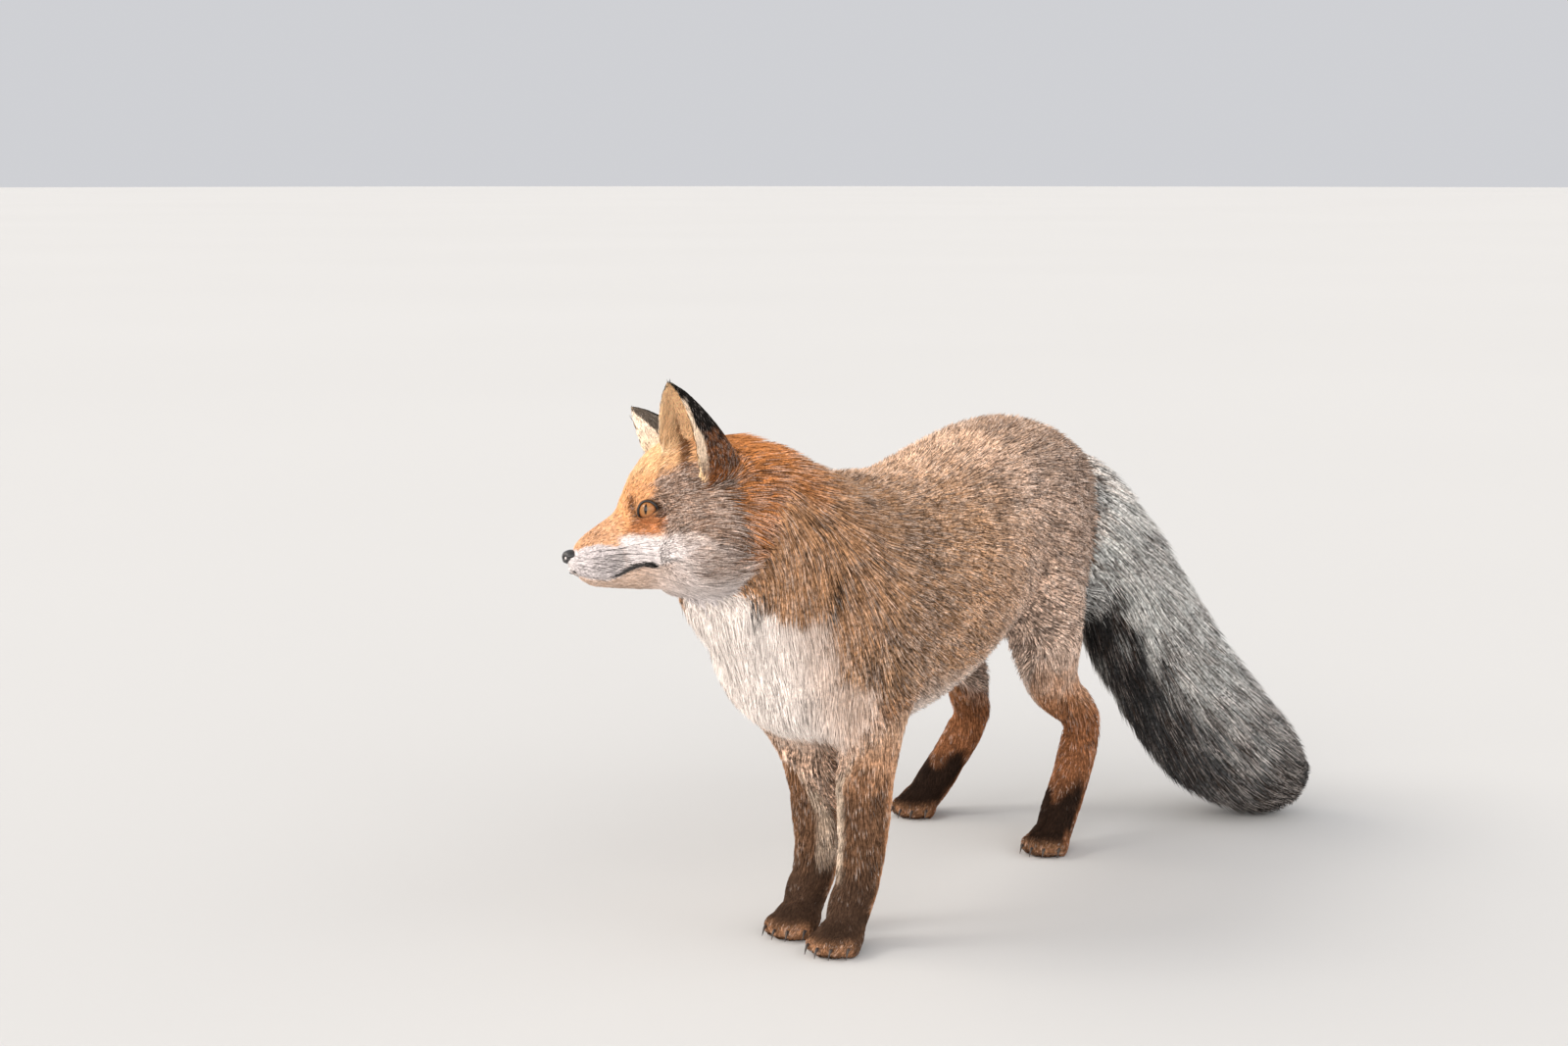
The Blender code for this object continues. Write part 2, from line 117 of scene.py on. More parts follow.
# centre line of the brush, in the body's axes
BRUSH = np.array(
    [
        (0.240, 0.010, 0.360), (0.297, -0.030, 0.322), (0.318, -0.075, 0.262),
        (0.340, -0.122, 0.168), (0.362, -0.172, 0.090), (0.380, -0.212, 0.054),
        (0.398, -0.256, 0.030),
    ]
)

# the middle of the throat and chest in the body's axes, and how far, how often and how much
# the skin is evened and lifted round it
CHEST = np.array((-0.275, -0.020, 0.240))
CHEST_REACH, CHEST_ROUNDS, CHEST_LIFT = 0.095, 260, 0.003

# the cream of the throat and chest at each height, in the body's axes: height, half width, middle
BIB = np.array(
    [
        (0.120, 0.030, 0.004), (0.165, 0.046, 0.004), (0.186, 0.073, 0.006), (0.215, 0.074, 0.008),
        (0.236, 0.068, 0.012), (0.257, 0.064, 0.018), (0.279, 0.058, 0.024), (0.288, 0.040, 0.027),
        (0.300, 0.034, 0.031), (0.340, 0.034, 0.045),
    ]
)
# both ends of the black marks at the throat's sides, in the body's axes
NECK_STREAKS = (
    ((-0.3256, -0.0097, 0.2972), (-0.3185, -0.0004, 0.2777)),
    ((-0.2813, -0.0607, 0.3096), (-0.2817, -0.0517, 0.2819)),
)

LEGS_PART = {"fore": -0.007, "hind": 0.0}  # where left legs part from right ones
LEG_LIE = {"foreleg": (0.10, 0, -1.0), "hindleg": (0.30, 0, -1.0), "forepaw": (-0.80, 0, -0.60)}

# edges of the markings and lines on the left of the face: forward and up, in the head's axes
BRIDGE_EDGE = [
    (0.100, 0.002), (0.088, -0.0012), (0.071, -0.0001), (0.063, -0.0035), (0.057, -0.006),
    (0.053, -0.002),
]
CHEEK_EDGE = [
    (0.045, 0.0010), (0.031, -0.0035), (0.018, -0.0075), (0.003, -0.0130), (-0.02, -0.030),
    (-0.06, -0.045),
]
MOUTH = [
    (0.0935, -0.0165), (0.0894, -0.0195), (0.0799, -0.0243), (0.0684, -0.0275), (0.0601, -0.0265),
    (0.0494, -0.0232), (0.0404, -0.0230), (0.0315, -0.0262),
]
WHISKER_ROWS = (0.0042, 0.0075, 0.0108, 0.0140)  # heights over the mouth
FOLD = [(0.0285, -0.0240), (0.0170, -0.0285), (0.0105, -0.0350)]
TEAR_MARK = [(0.0385, 0.0295), (0.0398, 0.0230), (0.0405, 0.0150), (0.0420, 0.0090)]
EYE_LINE = [(0.0232, 0.0190), (0.0210, 0.0150), (0.0188, 0.0098)]
UNDER_EYE = [(0.0460, 0.0050), (0.0385, 0.0000), (0.0310, -0.0020), (0.0244, -0.0010), (0.0185, 0.0050)]

# an ear in the head's axes: the painted shade in its cup (height, front, rear), the rear edge of the pale
# band along its outer rim and the front edge of the black on its side to the crown (height, forward)
EAR_LEAN = 0.0085  # how much further forward the right ear's tip is
EAR_CUP_SHADE = np.array(
    [
        (0.036, -0.0020, -0.0090), (0.045, -0.0014, -0.0093), (0.055, -0.0045, -0.0135),
        (0.068, -0.0080, -0.0155), (0.081, -0.0055, -0.0110), (0.090, -0.0065, -0.0085),
    ]
)
EAR_RIM = np.array(
    [(0.040, -0.0171), (0.053, -0.0175), (0.061, -0.0167), (0.070, -0.0127), (0.087, -0.0095)]
)
EAR_RIM_TOP = 0.091  # where the black reaches the rim
EAR_BACK = np.array([(0.060, -0.0150), (0.080, -0.0055), (0.091, -0.0015), (0.103, 0.0023)])

# the feet's middles in the body's axes, the toes' places across a foot and half a foot's width
FEET = ((-0.224, -0.034), (-0.190, 0.020), (0.156, -0.081), (0.243, 0.086))
TOES, HALF_FOOT = (-1.5, -0.5, 0.5, 1.5), 0.0215

# the eye's opening, along and across, from the middle of the ball; the first corner is the inner one
EYE_CORNERS = ((-0.0076, -0.0034), (0.0081, -0.0020))
UPPER_LID, LOWER_LID = 0.0088, 0.0028
EYE_ROLL = math.radians(20)
LID_RADIUS, LID_BACK = 0.0108, 0.0017
LOOK = np.array((0.43, 0.90, 0.07))  # where the left eye looks

# the stage: each light's name, where it comes from, its strength, its colour and its width in degrees
FLOOR_RADIUS = 60.0
GLINT = np.array((0.62, 0.16, 0.76))  # where the light in the left eye comes from, in the head's axes
LIGHTS = (
    ("key", (-2.8, 0.4, 0.7), 1.55, (1.0, 0.94, 0.87), 55),
    ("front", (-2.4, -1.3, 0.40), 1.65, (1.0, 0.97, 0.94), 70),
    ("side", (-0.6, -2.6, 1.6), 0.55, (1.0, 0.98, 0.96), 50),
    ("rear", (1.6, -2.2, 0.9), 0.50, (1.0, 0.95, 0.88), 50),
    ("rim", (-0.4, 2.8, 1.7), 1.2, (1.0, 0.90, 0.78), 50),
    ("glint", tuple(HEAD_AXES @ GLINT), 0.9, (1.0, 0.97, 0.92), 20),
)
SKY_COLOUR, SKY_STRENGTH = (0.95, 0.96, 1.0, 1), 0.66
# the camera's place in the body's axes, its turn from X and its fall, its sensor and its lens in millimetres
CAMERA = (-2.2209, -0.9067, 0.6426)
CAMERA_TURN, CAMERA_FALL = math.radians(24.83), math.radians(7.585)
SENSOR, LENS = 36, 63


# ------------------------------------------------------------------- numbers
def ramp(start, end, value):
    """0 at start, 1 at end, eased between."""
    share = np.clip((value - start) / (end - start), 0, 1)
    return share * share * (3 - 2 * share)


def unit(vectors):
    return vectors / np.maximum(np.linalg.norm(vectors, axis=-1, keepdims=True), 1e-9)


def ripple(points, size, seed):
    """Smooth noise of about -1 to 1, with features about this large."""
    waves = np.random.default_rng(seed)
    total = np.zeros(len(points))
    for _ in range(9):
        direction = unit(waves.normal(size=3)) * math.tau / size * waves.uniform(0.6, 1.3)
        total += np.sin(points @ direction + waves.uniform(0, math.tau))
    return total / 3.0


def linear(red, green, blue):
    """A screen colour of 0 to 255 as light."""
    share = np.array((red, green, blue)) / 255
    return np.where(share <= 0.04045, share / 12.92, ((share + 0.055) / 1.055) ** 2.4)


def mixed(first, second, share):
    """One or more colours, moved towards another by one share or by a share each."""
    return first + (second - first) * np.asarray(share)[..., None]


def layered(colour, *layers):
    """A colour with others laid over it in turn, each by its own share."""
    for over, share in layers:
        colour = mixed(colour, over, share)
    return colour


def spot(*axes):
    """1 at a spot's middle and less round it: along each axis a place, the middle and the reach."""
    return np.exp(-sum(((place - middle) / reach) ** 2 for place, middle, reach in axes))


def line_distance(points, line):
    """Distance from each point to a line of points."""
    line = np.asarray(line, float)
    best = np.full(len(points), 9.0)
    for start, step in zip(line[:-1], np.diff(line, axis=0), strict=True):
        share = np.clip(((points - start) @ step) / (step @ step), 0, 1)
        best = np.minimum(best, np.linalg.norm(points - start - share[:, None] * step, axis=1))
    return best


def height_of(line, forward):
    """The line's height at each place forward."""
    line = np.array(sorted(line))
    return np.interp(forward, line[:, 0], line[:, 1])


def in_head(points):
    return (points - HEAD) @ HEAD_AXES


def from_head(points):
    return points @ HEAD_AXES.T + HEAD


def mirrored(head):
    """The head's points, all on its left side."""
    return np.column_stack([head[:, 0], abs(head[:, 1]), head[:, 2]])


def nearest(places, points):
    """For each point, which of the places is nearest."""
    tree = KDTree(len(places))
    for i, place in enumerate(places):
        tree.insert(place, i)
    tree.balance()
    return np.array([tree.find(point)[1] for point in points])


def relaxed(line, rounds):
    """A line with its middle places drawn towards their neighbours."""
    line = line.copy()
    for _ in range(rounds):
        line[1:-1] = (line[:-2] + line[1:-1] + line[2:]) / 3
    return line


# ------------------------------------------------------------------- surfaces
def triangles_of(mesh):
    """A mesh's points and triangles as arrays."""
    mesh.calc_loop_triangles()
    points = np.empty(len(mesh.vertices) * 3)
    mesh.vertices.foreach_get("co", points)
    corners = np.empty(len(mesh.loop_triangles) * 3, np.int32)
    mesh.loop_triangles.foreach_get("vertices", corners)
    return points.reshape(-1, 3), corners.reshape(-1, 3)


def edges_of(triangles):
    pairs = np.sort(np.vstack([triangles[:, (0, 1)], triangles[:, (1, 2)], triangles[:, (2, 0)]]), axis=1)
    return np.unique(pairs, axis=0)


def normals_of(points, triangles):
    a, b, c = (points[triangles[:, i]] for i in range(3))
    facing = np.cross(b - a, c - a)
    total = np.empty_like(points)
    for axis in range(3):
        sums = sum(np.bincount(triangles[:, i], facing[:, axis], len(points)) for i in range(3))
        total[:, axis] = sums
    return unit(total)


def neighbours_mean(values, edges):
    columns = values.reshape(len(values), -1)
    total = np.empty_like(columns)
    degree = np.bincount(edges.ravel(), minlength=len(values))
    for i in range(columns.shape[1]):
        column = columns[:, i]
        total[:, i] = np.bincount(edges[:, 0], column[edges[:, 1]], len(values))
        total[:, i] += np.bincount(edges[:, 1], column[edges[:, 0]], len(values))
    return (total / np.maximum(degree, 1)[:, None]).reshape(values.shape)


def spread(values, edges, rounds):
    """Values that flow into each other over the surface."""
    for _ in range(rounds):
        values = 0.4 * values + 0.6 * neighbours_mean(values, edges)
    return values


def eased(points, edges, rounds):
    """The surface without its small steps, at the same volume."""
    for _ in range(rounds):
        for pull in (0.50, -0.52):
            points = points + pull * (neighbours_mean(points, edges) - points)
    return points


def evened_chest(points, triangles, edges):
    """The throat and chest as one even slope where the neck's solid meets the trunk's."""
    away = np.linalg.norm(points - BODY - CHEST, axis=1)
    chosen, local = np.unique(edges[(away[edges] < CHEST_REACH).all(axis=1)], return_inverse=True)
    local = local.reshape(-1, 2)
    share = ramp(CHEST_REACH, 0.6 * CHEST_REACH, away[chosen])[:, None]
    patch = points[chosen]
    for _ in range(CHEST_ROUNDS):
        patch = patch + 0.6 * share * (neighbours_mean(patch, local) - patch)
    points = points.copy()
    points[chosen] = patch
    points[chosen] += normals_of(points, triangles)[chosen] * CHEST_LIFT * share
    return points


def linked(name, data):
    """An object of the scene with this data."""
    made = bpy.data.objects.new(name, data)
    bpy.context.scene.collection.objects.link(made)
    return made


def mesh_of(work, name):
    """A bmesh as a mesh."""
    mesh = bpy.data.meshes.new(name)
    work.to_mesh(mesh)
    work.free()
    return mesh


def mesh_object(name, points, triangles, colours=None, grain=None):
    """A smooth object with this mesh, and with colours and the strength of their grain at its points."""
    mesh = bpy.data.meshes.new(name)
    mesh.vertices.add(len(points))
    mesh.vertices.foreach_set("co", np.ascontiguousarray(points, np.float32).ravel())
    mesh.loops.add(triangles.size)
    mesh.loops.foreach_set("vertex_index", np.ascontiguousarray(triangles, np.int32).ravel())
    mesh.polygons.add(len(triangles))
    mesh.polygons.foreach_set("loop_start", np.arange(0, triangles.size, 3, dtype=np.int32))
    mesh.polygons.foreach_set("use_smooth", np.ones(len(triangles), bool))
    mesh.update(calc_edges=True)
    if colours is not None:
        painted = mesh.color_attributes.new("fur", "FLOAT_COLOR", "POINT")
        rgba = np.ones((len(points), 4), np.float32)
        rgba[:, :3] = colours
        painted.data.foreach_set("color", rgba.ravel())
    if grain is not None:
        mesh.attributes.new("grain", "FLOAT", "POINT").data.foreach_set("value", grain.astype(np.float32))
    return linked(name, mesh)


def evaluated(thing):
    bpy.context.view_layer.update()
    graph = bpy.context.evaluated_depsgraph_get()
    return bpy.data.meshes.new_from_object(thing.evaluated_get(graph))


# ------------------------------------------------------------- where the coat lies
def region_of(skin):
    """For each point of the skin, the index in FLESH of the solid whose surface is nearest."""
    places, owners = [], []
    for index, node in enumerate(FLESH):
        points, triangles = triangles_of(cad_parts[node].data)
        for batch in (points, points[triangles].mean(axis=1)):
            places.append(batch)
            owners += [index] * len(batch)
    return np.array(owners)[nearest(np.vstack(places), skin)]


def brush_tangents(points):
    """The brush's own direction beside each point."""
    steps = unit(np.diff(BRUSH, axis=0))
    middles = (BRUSH[1:] + BRUSH[:-1]) / 2 + BODY
    share = 1 / (np.linalg.norm(points[:, None] - middles, axis=2) ** 4 + 1e-9)
    return unit((share[:, :, None] * steps).sum(axis=1))


def ear_axis(side):
    """Root and tip of an ear, in the head's axes."""
    tip = (0.0000, 0.0590, 0.1060) if side > 0 else (0.0085, -0.0590, 0.1050)
    return np.array((0.0, side * 0.036, 0.032)), np.array(tip)


def head_style(head):
    """Depth, length, width, count and gathering of the head's coat."""
    forward, side, up = head[:, 0], abs(head[:, 1]), head[:, 2]
    muzzle = ramp(0.030, 0.058, forward)
    cheek = ramp(0.016, -0.028, forward) * ramp(0.020, 0.045, side) * ramp(0.050, 0.010, up)
    throat = ramp(0.030, -0.030, forward) * ramp(-0.015, -0.045, up)
    nape = ramp(-0.020, -0.055, forward)
    depth = 0.0032 - 0.0016 * muzzle + 0.0085 * cheek + 0.0080 * throat + 0.0060 * nape
    depth = np.minimum(depth, 0.0140)
    length = np.clip(depth * 3.3, 0.0048, 0.034)
    width = 0.00058 + 0.045 * depth
    count = 1.9 - 1.2 * ramp(0.004, 0.012, depth) + 0.9 * muzzle
    gather = 0.02 + 0.22 * ramp(0.004, 0.012, depth)
    return np.column_stack([depth, length, width, count, gather])


def lie_of(kind, node, points, normals):
    """The way the hairs point, one for all or each its own, before it is laid on the surface."""
    head = in_head(points)
    rearward, downward = np.array((1.0, 0, 0)), np.array((0, 0, -1.0))
    if kind == "head":
        sideways = np.clip(head[:, 1] / 0.05, -1, 1)
        cheek = ramp(0.03, -0.02, head[:, 0]) * ramp(0.03, 0.0, head[:, 2])
        way = np.column_stack([-np.ones(len(points)), 0.22 * sideways, -0.06 - 0.42 * cheek])
        crown = ramp(0.045, 0.065, head[:, 2])
        way[:, 2] += 0.25 * crown
        return unit(way) @ HEAD_AXES.T
    if kind == "ear":
        root, tip = ear_axis(1 if node == "ear_left" else -1)
        return HEAD_AXES @ unit(tip - root)
    if kind in ("neck", "trunk"):
        along = (points - BODY)[:, :1]
        back_share = ramp(-0.33, -0.10, along)
        flank = abs(normals[:, 1])[:, None]
        front = ramp(0.05, 0.70, -normals[:, 0])[:, None] * ramp(-0.10, -0.17, along)
        rump = ramp(0.30, 0.90, normals[:, 0])[:, None]
        way = rearward * (0.85 - 0.80 * front) + np.array((0, -0.16, 0)) * (1 - back_share)
        way = way + downward * (0.42 - 0.28 * back_share + 0.28 * flank + 0.90 * front + rump)
        return unit(way)
    if kind.startswith("tail"):
        return brush_tangents(points)
    if kind in LEG_LIE:
        return unit(np.array(LEG_LIE[kind]))
    low_part = ramp(0.040, 0.015, points[:, 2])[:, None]
    return unit(np.array((-0.45, 0, -1.0)) + low_part * np.array((-0.8, 0, 0.5)))


def coat_fields(points, normals, region):
    """For each point: depth, length, width, count, gathering, and the lie as three numbers."""
    made = np.zeros((len(points), 8))
    for index, (node, kind) in enumerate(zip(FLESH, KINDS, strict=True)):
        here = region == index
        if not here.any():
            continue
        made[here, :5] = head_style(in_head(points[here])) if kind == "head" else STYLE[kind]
        made[here, 5:] = lie_of(kind, node, points[here], normals[here])
    return made


# ------------------------------------------------------------------- the skin
def fused_skin():
    """All the solids grown into one closed surface, finely and evenly meshed."""
    whole = bmesh.new()
    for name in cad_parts:
        piece = bmesh.new()
        piece.from_mesh(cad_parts[name].data)
        bmesh.ops.remove_doubles(piece, verts=piece.verts, dist=WELD)
        piece.normal_update()
        for vertex in piece.verts:
            vertex.co += vertex.normal * GROWTH
        loose = mesh_of(piece, "loose")
        whole.from_mesh(loose)
        bpy.data.meshes.remove(loose)
    thing = linked("fused", mesh_of(whole, "fused"))
    remesh = thing.modifiers.new("fuse", "REMESH")
    remesh.mode = "VOXEL"
    remesh.voxel_size = SKIN_VOXEL
    made = triangles_of(evaluated(thing))
    bpy.data.objects.remove(thing)
    return made


def thinned(points, triangles):
    """The skin with fewer triangles on the body and finer ones round the eyes and mouth."""
    thing = mesh_object("thinned", points, triangles)
    forward = in_head(points)[:, 0]
    body = thing.vertex_groups.new(name="body")
    weights = ramp(-0.045, -0.085, forward)
    for level in range(11):
        chosen = np.flatnonzero(np.round(weights * 10) == level)
        body.add(chosen.tolist(), level / 10, "REPLACE")
    thin = thing.modifiers.new("thin", "DECIMATE")
    thin.vertex_group = "body"
    thin.ratio = SKIN_SHARE
    mesh = evaluated(thing)
    bpy.data.objects.remove(thing)
    work = bmesh.new()
    work.from_mesh(mesh)
    for reach in (1.0, 0.55):
        places = in_head(np.array([vertex.co for vertex in work.verts]))
        fine = face_detail(places, reach)
        work.verts.index_update()
        edges = [e for e in work.edges if fine[e.verts[0].index] and fine[e.verts[1].index]]
        bmesh.ops.subdivide_edges(work, edges=edges, cuts=1)
        bmesh.ops.triangulate(work, faces=[f for f in work.faces if len(f.verts) > 3])
    work.to_mesh(mesh)
    work.free()
    return triangles_of(mesh)


def face_detail(head, reach):
    """Whether a point of the head is near an eye or the mouth."""
    left = mirrored(head)
    near_eye = np.linalg.norm(left - EYE - np.array((0.003, 0.006, 0)), axis=1) < 0.018 * reach
    mouth = line_distance(left[:, (0, 2)], MOUTH)
    on_muzzle = (left[:, 0] > 0.028) & (left[:, 1] < 0.034)
    return near_eye | ((mouth < 0.006 * reach) & on_muzzle) | (head[:, 0] > 0.062 / reach)


def eye_axes(side):
    """Along the opening to the outer corner, up across it, and outwards, in the head's axes."""
    outward = unit(LOOK * (1, side, 1))
    along = np.array((-1.0, 0, 0.06))
    along = unit(along - outward * (along @ outward))
    upward = np.cross(outward, along) * side
    return along, upward if upward[2] > 0 else -upward, outward


def lid_outline(count=72):
    """The opening's edge, all round, and the share of the upper lid at each place."""
    inner, outer = (np.array(corner) for corner in EYE_CORNERS)
    turn = np.arange(count) * math.tau / count
    along = -np.cos(turn)
    upper = np.sin(turn) > 0
    bulge = np.sqrt(np.clip(1 - along**2, 0, 1))
    lift = np.where(upper, UPPER_LID * bulge**1.15 * (1 - 0.06 * along), -LOWER_LID * bulge**1.4)
    places = inner + (outer - inner) * ((along + 1) / 2)[:, None] + np.column_stack([np.zeros(count), lift])
    return places, upper


def with_lids(head):
    """Skin drawn up over the eyeballs round each opening, and sunk behind them inside it."""
    head = head.copy()
    ring, _ = lid_outline()
    closed = np.vstack([ring, ring[:1]])
    for side in (1, -1):
        along, upward, outward = eye_axes(side)
        centre = EYE * (1, side, 1)
        offset = head - centre
        flat = np.column_stack([offset @ along, offset @ upward])
        out = offset @ outward
        reach = np.linalg.norm(flat, axis=1)
        near = np.flatnonzero((reach < 0.024) & (out > -0.004) & (offset[:, 1] * side > -0.012))
        away = line_distance(flat[near], closed)
        inside = inside_ring(flat[near], ring)
        lid = np.sqrt(np.maximum(LID_RADIUS**2 - reach[near] ** 2, 0)) - LID_BACK
        ball = np.sqrt(np.maximum(EYE_RADIUS**2 - reach[near] ** 2, 0)) - 0.0030
        pull = ramp(0.0090, 0.0008, away)
        raised = out[near] + (lid - 0.0004 - out[near]) * pull
        target = np.where(inside, np.minimum(ball, lid - 0.0020 * ramp(0, 0.001, away)), raised)
        head[near] += (target - out[near])[:, None] * outward
    return head


def inside_ring(points, ring):
    """Whether each 2-D point lies inside the closed ring."""
    crossings = np.zeros(len(points), int)
    for start, end in zip(ring, np.roll(ring, -1, axis=0), strict=True):
        spans = (start[1] > points[:, 1]) != (end[1] > points[:, 1])
        rise = end[1] - start[1] if abs(end[1] - start[1]) > 1e-12 else 1e-12
        at = start[0] + (points[:, 1] - start[1]) / rise * (end[0] - start[0])
        crossings += spans & (points[:, 0] < at)
    return crossings % 2 == 1


def with_mouth(head):
    """The lips' groove, the upper lip's overhang and a narrower lower jaw."""
    head = head.copy()
    side = np.sign(head[:, 1])
    away = line_distance(head[:, (0, 2)], MOUTH)
    muzzle = ramp(0.026, 0.036, head[:, 0])
    groove = 0.0017 * spot((away, 0, 0.0013))
    over = head[:, 2] - height_of(MOUTH, head[:, 0])
    below = ramp(0.0, 0.004, -over)
    lip = 0.0008 * spot((over, 0.0045, 0.0030))
    inward = (groove + 0.0013 * below - lip) * muzzle
    head[:, 1] -= side * np.minimum(inward, abs(head[:, 1]) * 0.5)
    hollow = spot((head[:, 0], 0.046, 0.010), (head[:, 2], 0.008, 0.008))
    head[:, 1] -= side * 0.0012 * hollow
    return head


# ------------------------------------------------------------------ the markings
ORANGE = linear(232, 168, 116)
PALE_ORANGE = linear(252, 212, 164)
RUST = linear(176, 106, 64)
TAN = linear(186, 134, 96)
SAND = linear(202, 170, 148)
# painted highlight along the top of the back
BACK_HIGHLIGHT = linear(246, 202, 168)
FAWN = linear(194, 150, 114)
BROWN = linear(118, 90, 72)
CREAM = linear(254, 241, 232)
CHEEK = linear(164, 133, 113)
# painted shade on the chin and lower jaw
JAW_SHADE = linear(208, 178, 158)
FACE_WHITE = linear(240, 229, 226)
WHISKER_BED = linear(212, 201, 200)
EAR_ROOT = linear(128, 76, 40)
EAR_LINING = linear(255, 216, 170)
NAPE = linear(200, 130, 76)
GREY = linear(200, 200, 196)
SMOKE = linear(90, 84, 80)
COOL_SMOKE = linear(84, 84, 85)
BLACK = linear(22, 19, 17)
WARM_BLACK = linear(58, 44, 36)
UNDER_EYE_RUST = linear(190, 122, 78)
# painted shade in the ears' cups
CUP_SHADE = linear(104, 66, 40)

# the iris from its middle out to the white of the eye: share of the ball's radius, colour
IRIS = (
    (0.10, linear(120, 76, 36)),
    (0.28, linear(158, 112, 66)),
    (0.62, linear(172, 112, 66)),
    (0.80, linear(116, 70, 40)),
    (0.87, linear(34, 22, 16)),
    (0.93, linear(48, 36, 30)),
    (0.98, linear(60, 46, 38)),
)
PUPIL, PUPIL_BLACK = (0.00115, 0.0041), (0.003, 0.002, 0.002, 1)  # half its size across and up, colour
# mottled materials: both colours, scale of the mottling, roughness, relief, clear coat
SPOTTED = {
    "leather": (linear(16, 15, 16), linear(38, 35, 35), 900.0, 0.42, 0.5, 0.35),
    "rim": (linear(10, 8, 7), linear(28, 21, 18), 700.0, 0.50, 0.0, 0.1),
    "horn": (linear(30, 24, 22), linear(74, 60, 50), 300.0, 0.35, 0.0, 0.0),
    "stiff_hair": (linear(22, 18, 17), linear(60, 50, 44), 200.0, 0.4, 0.0, 0.0),
    "pale_floor": ((0.60, 0.595, 0.585), (0.61, 0.605, 0.595), 0.3, 0.9, 0.0, 0.0),
}


def markings(points, normals, kinds):
    """The coat's colour, and the share of dark-tipped and of pale-tipped hairs, at each point."""
    colour, dark, pale = np.zeros((len(points), 3)), np.zeros(len(points)), np.zeros(len(points))
    painters = {"head": head_marks, "ear": ear_marks, "neck": neck_marks, "trunk": trunk_marks}
    for kind in sorted(set(kinds)):
        here = np.flatnonzero(kinds == kind)
        painter = painters.get(kind, brush_marks if kind.startswith("tail") else leg_marks)
        colour[here], dark[here], pale[here] = painter(points[here], normals[here], kind)
    shade = 1 + 0.07 * ripple(points, 0.030, 3) + 0.05 * ripple(points, 0.012, 4)
    return colour * shade[:, None], dark, pale


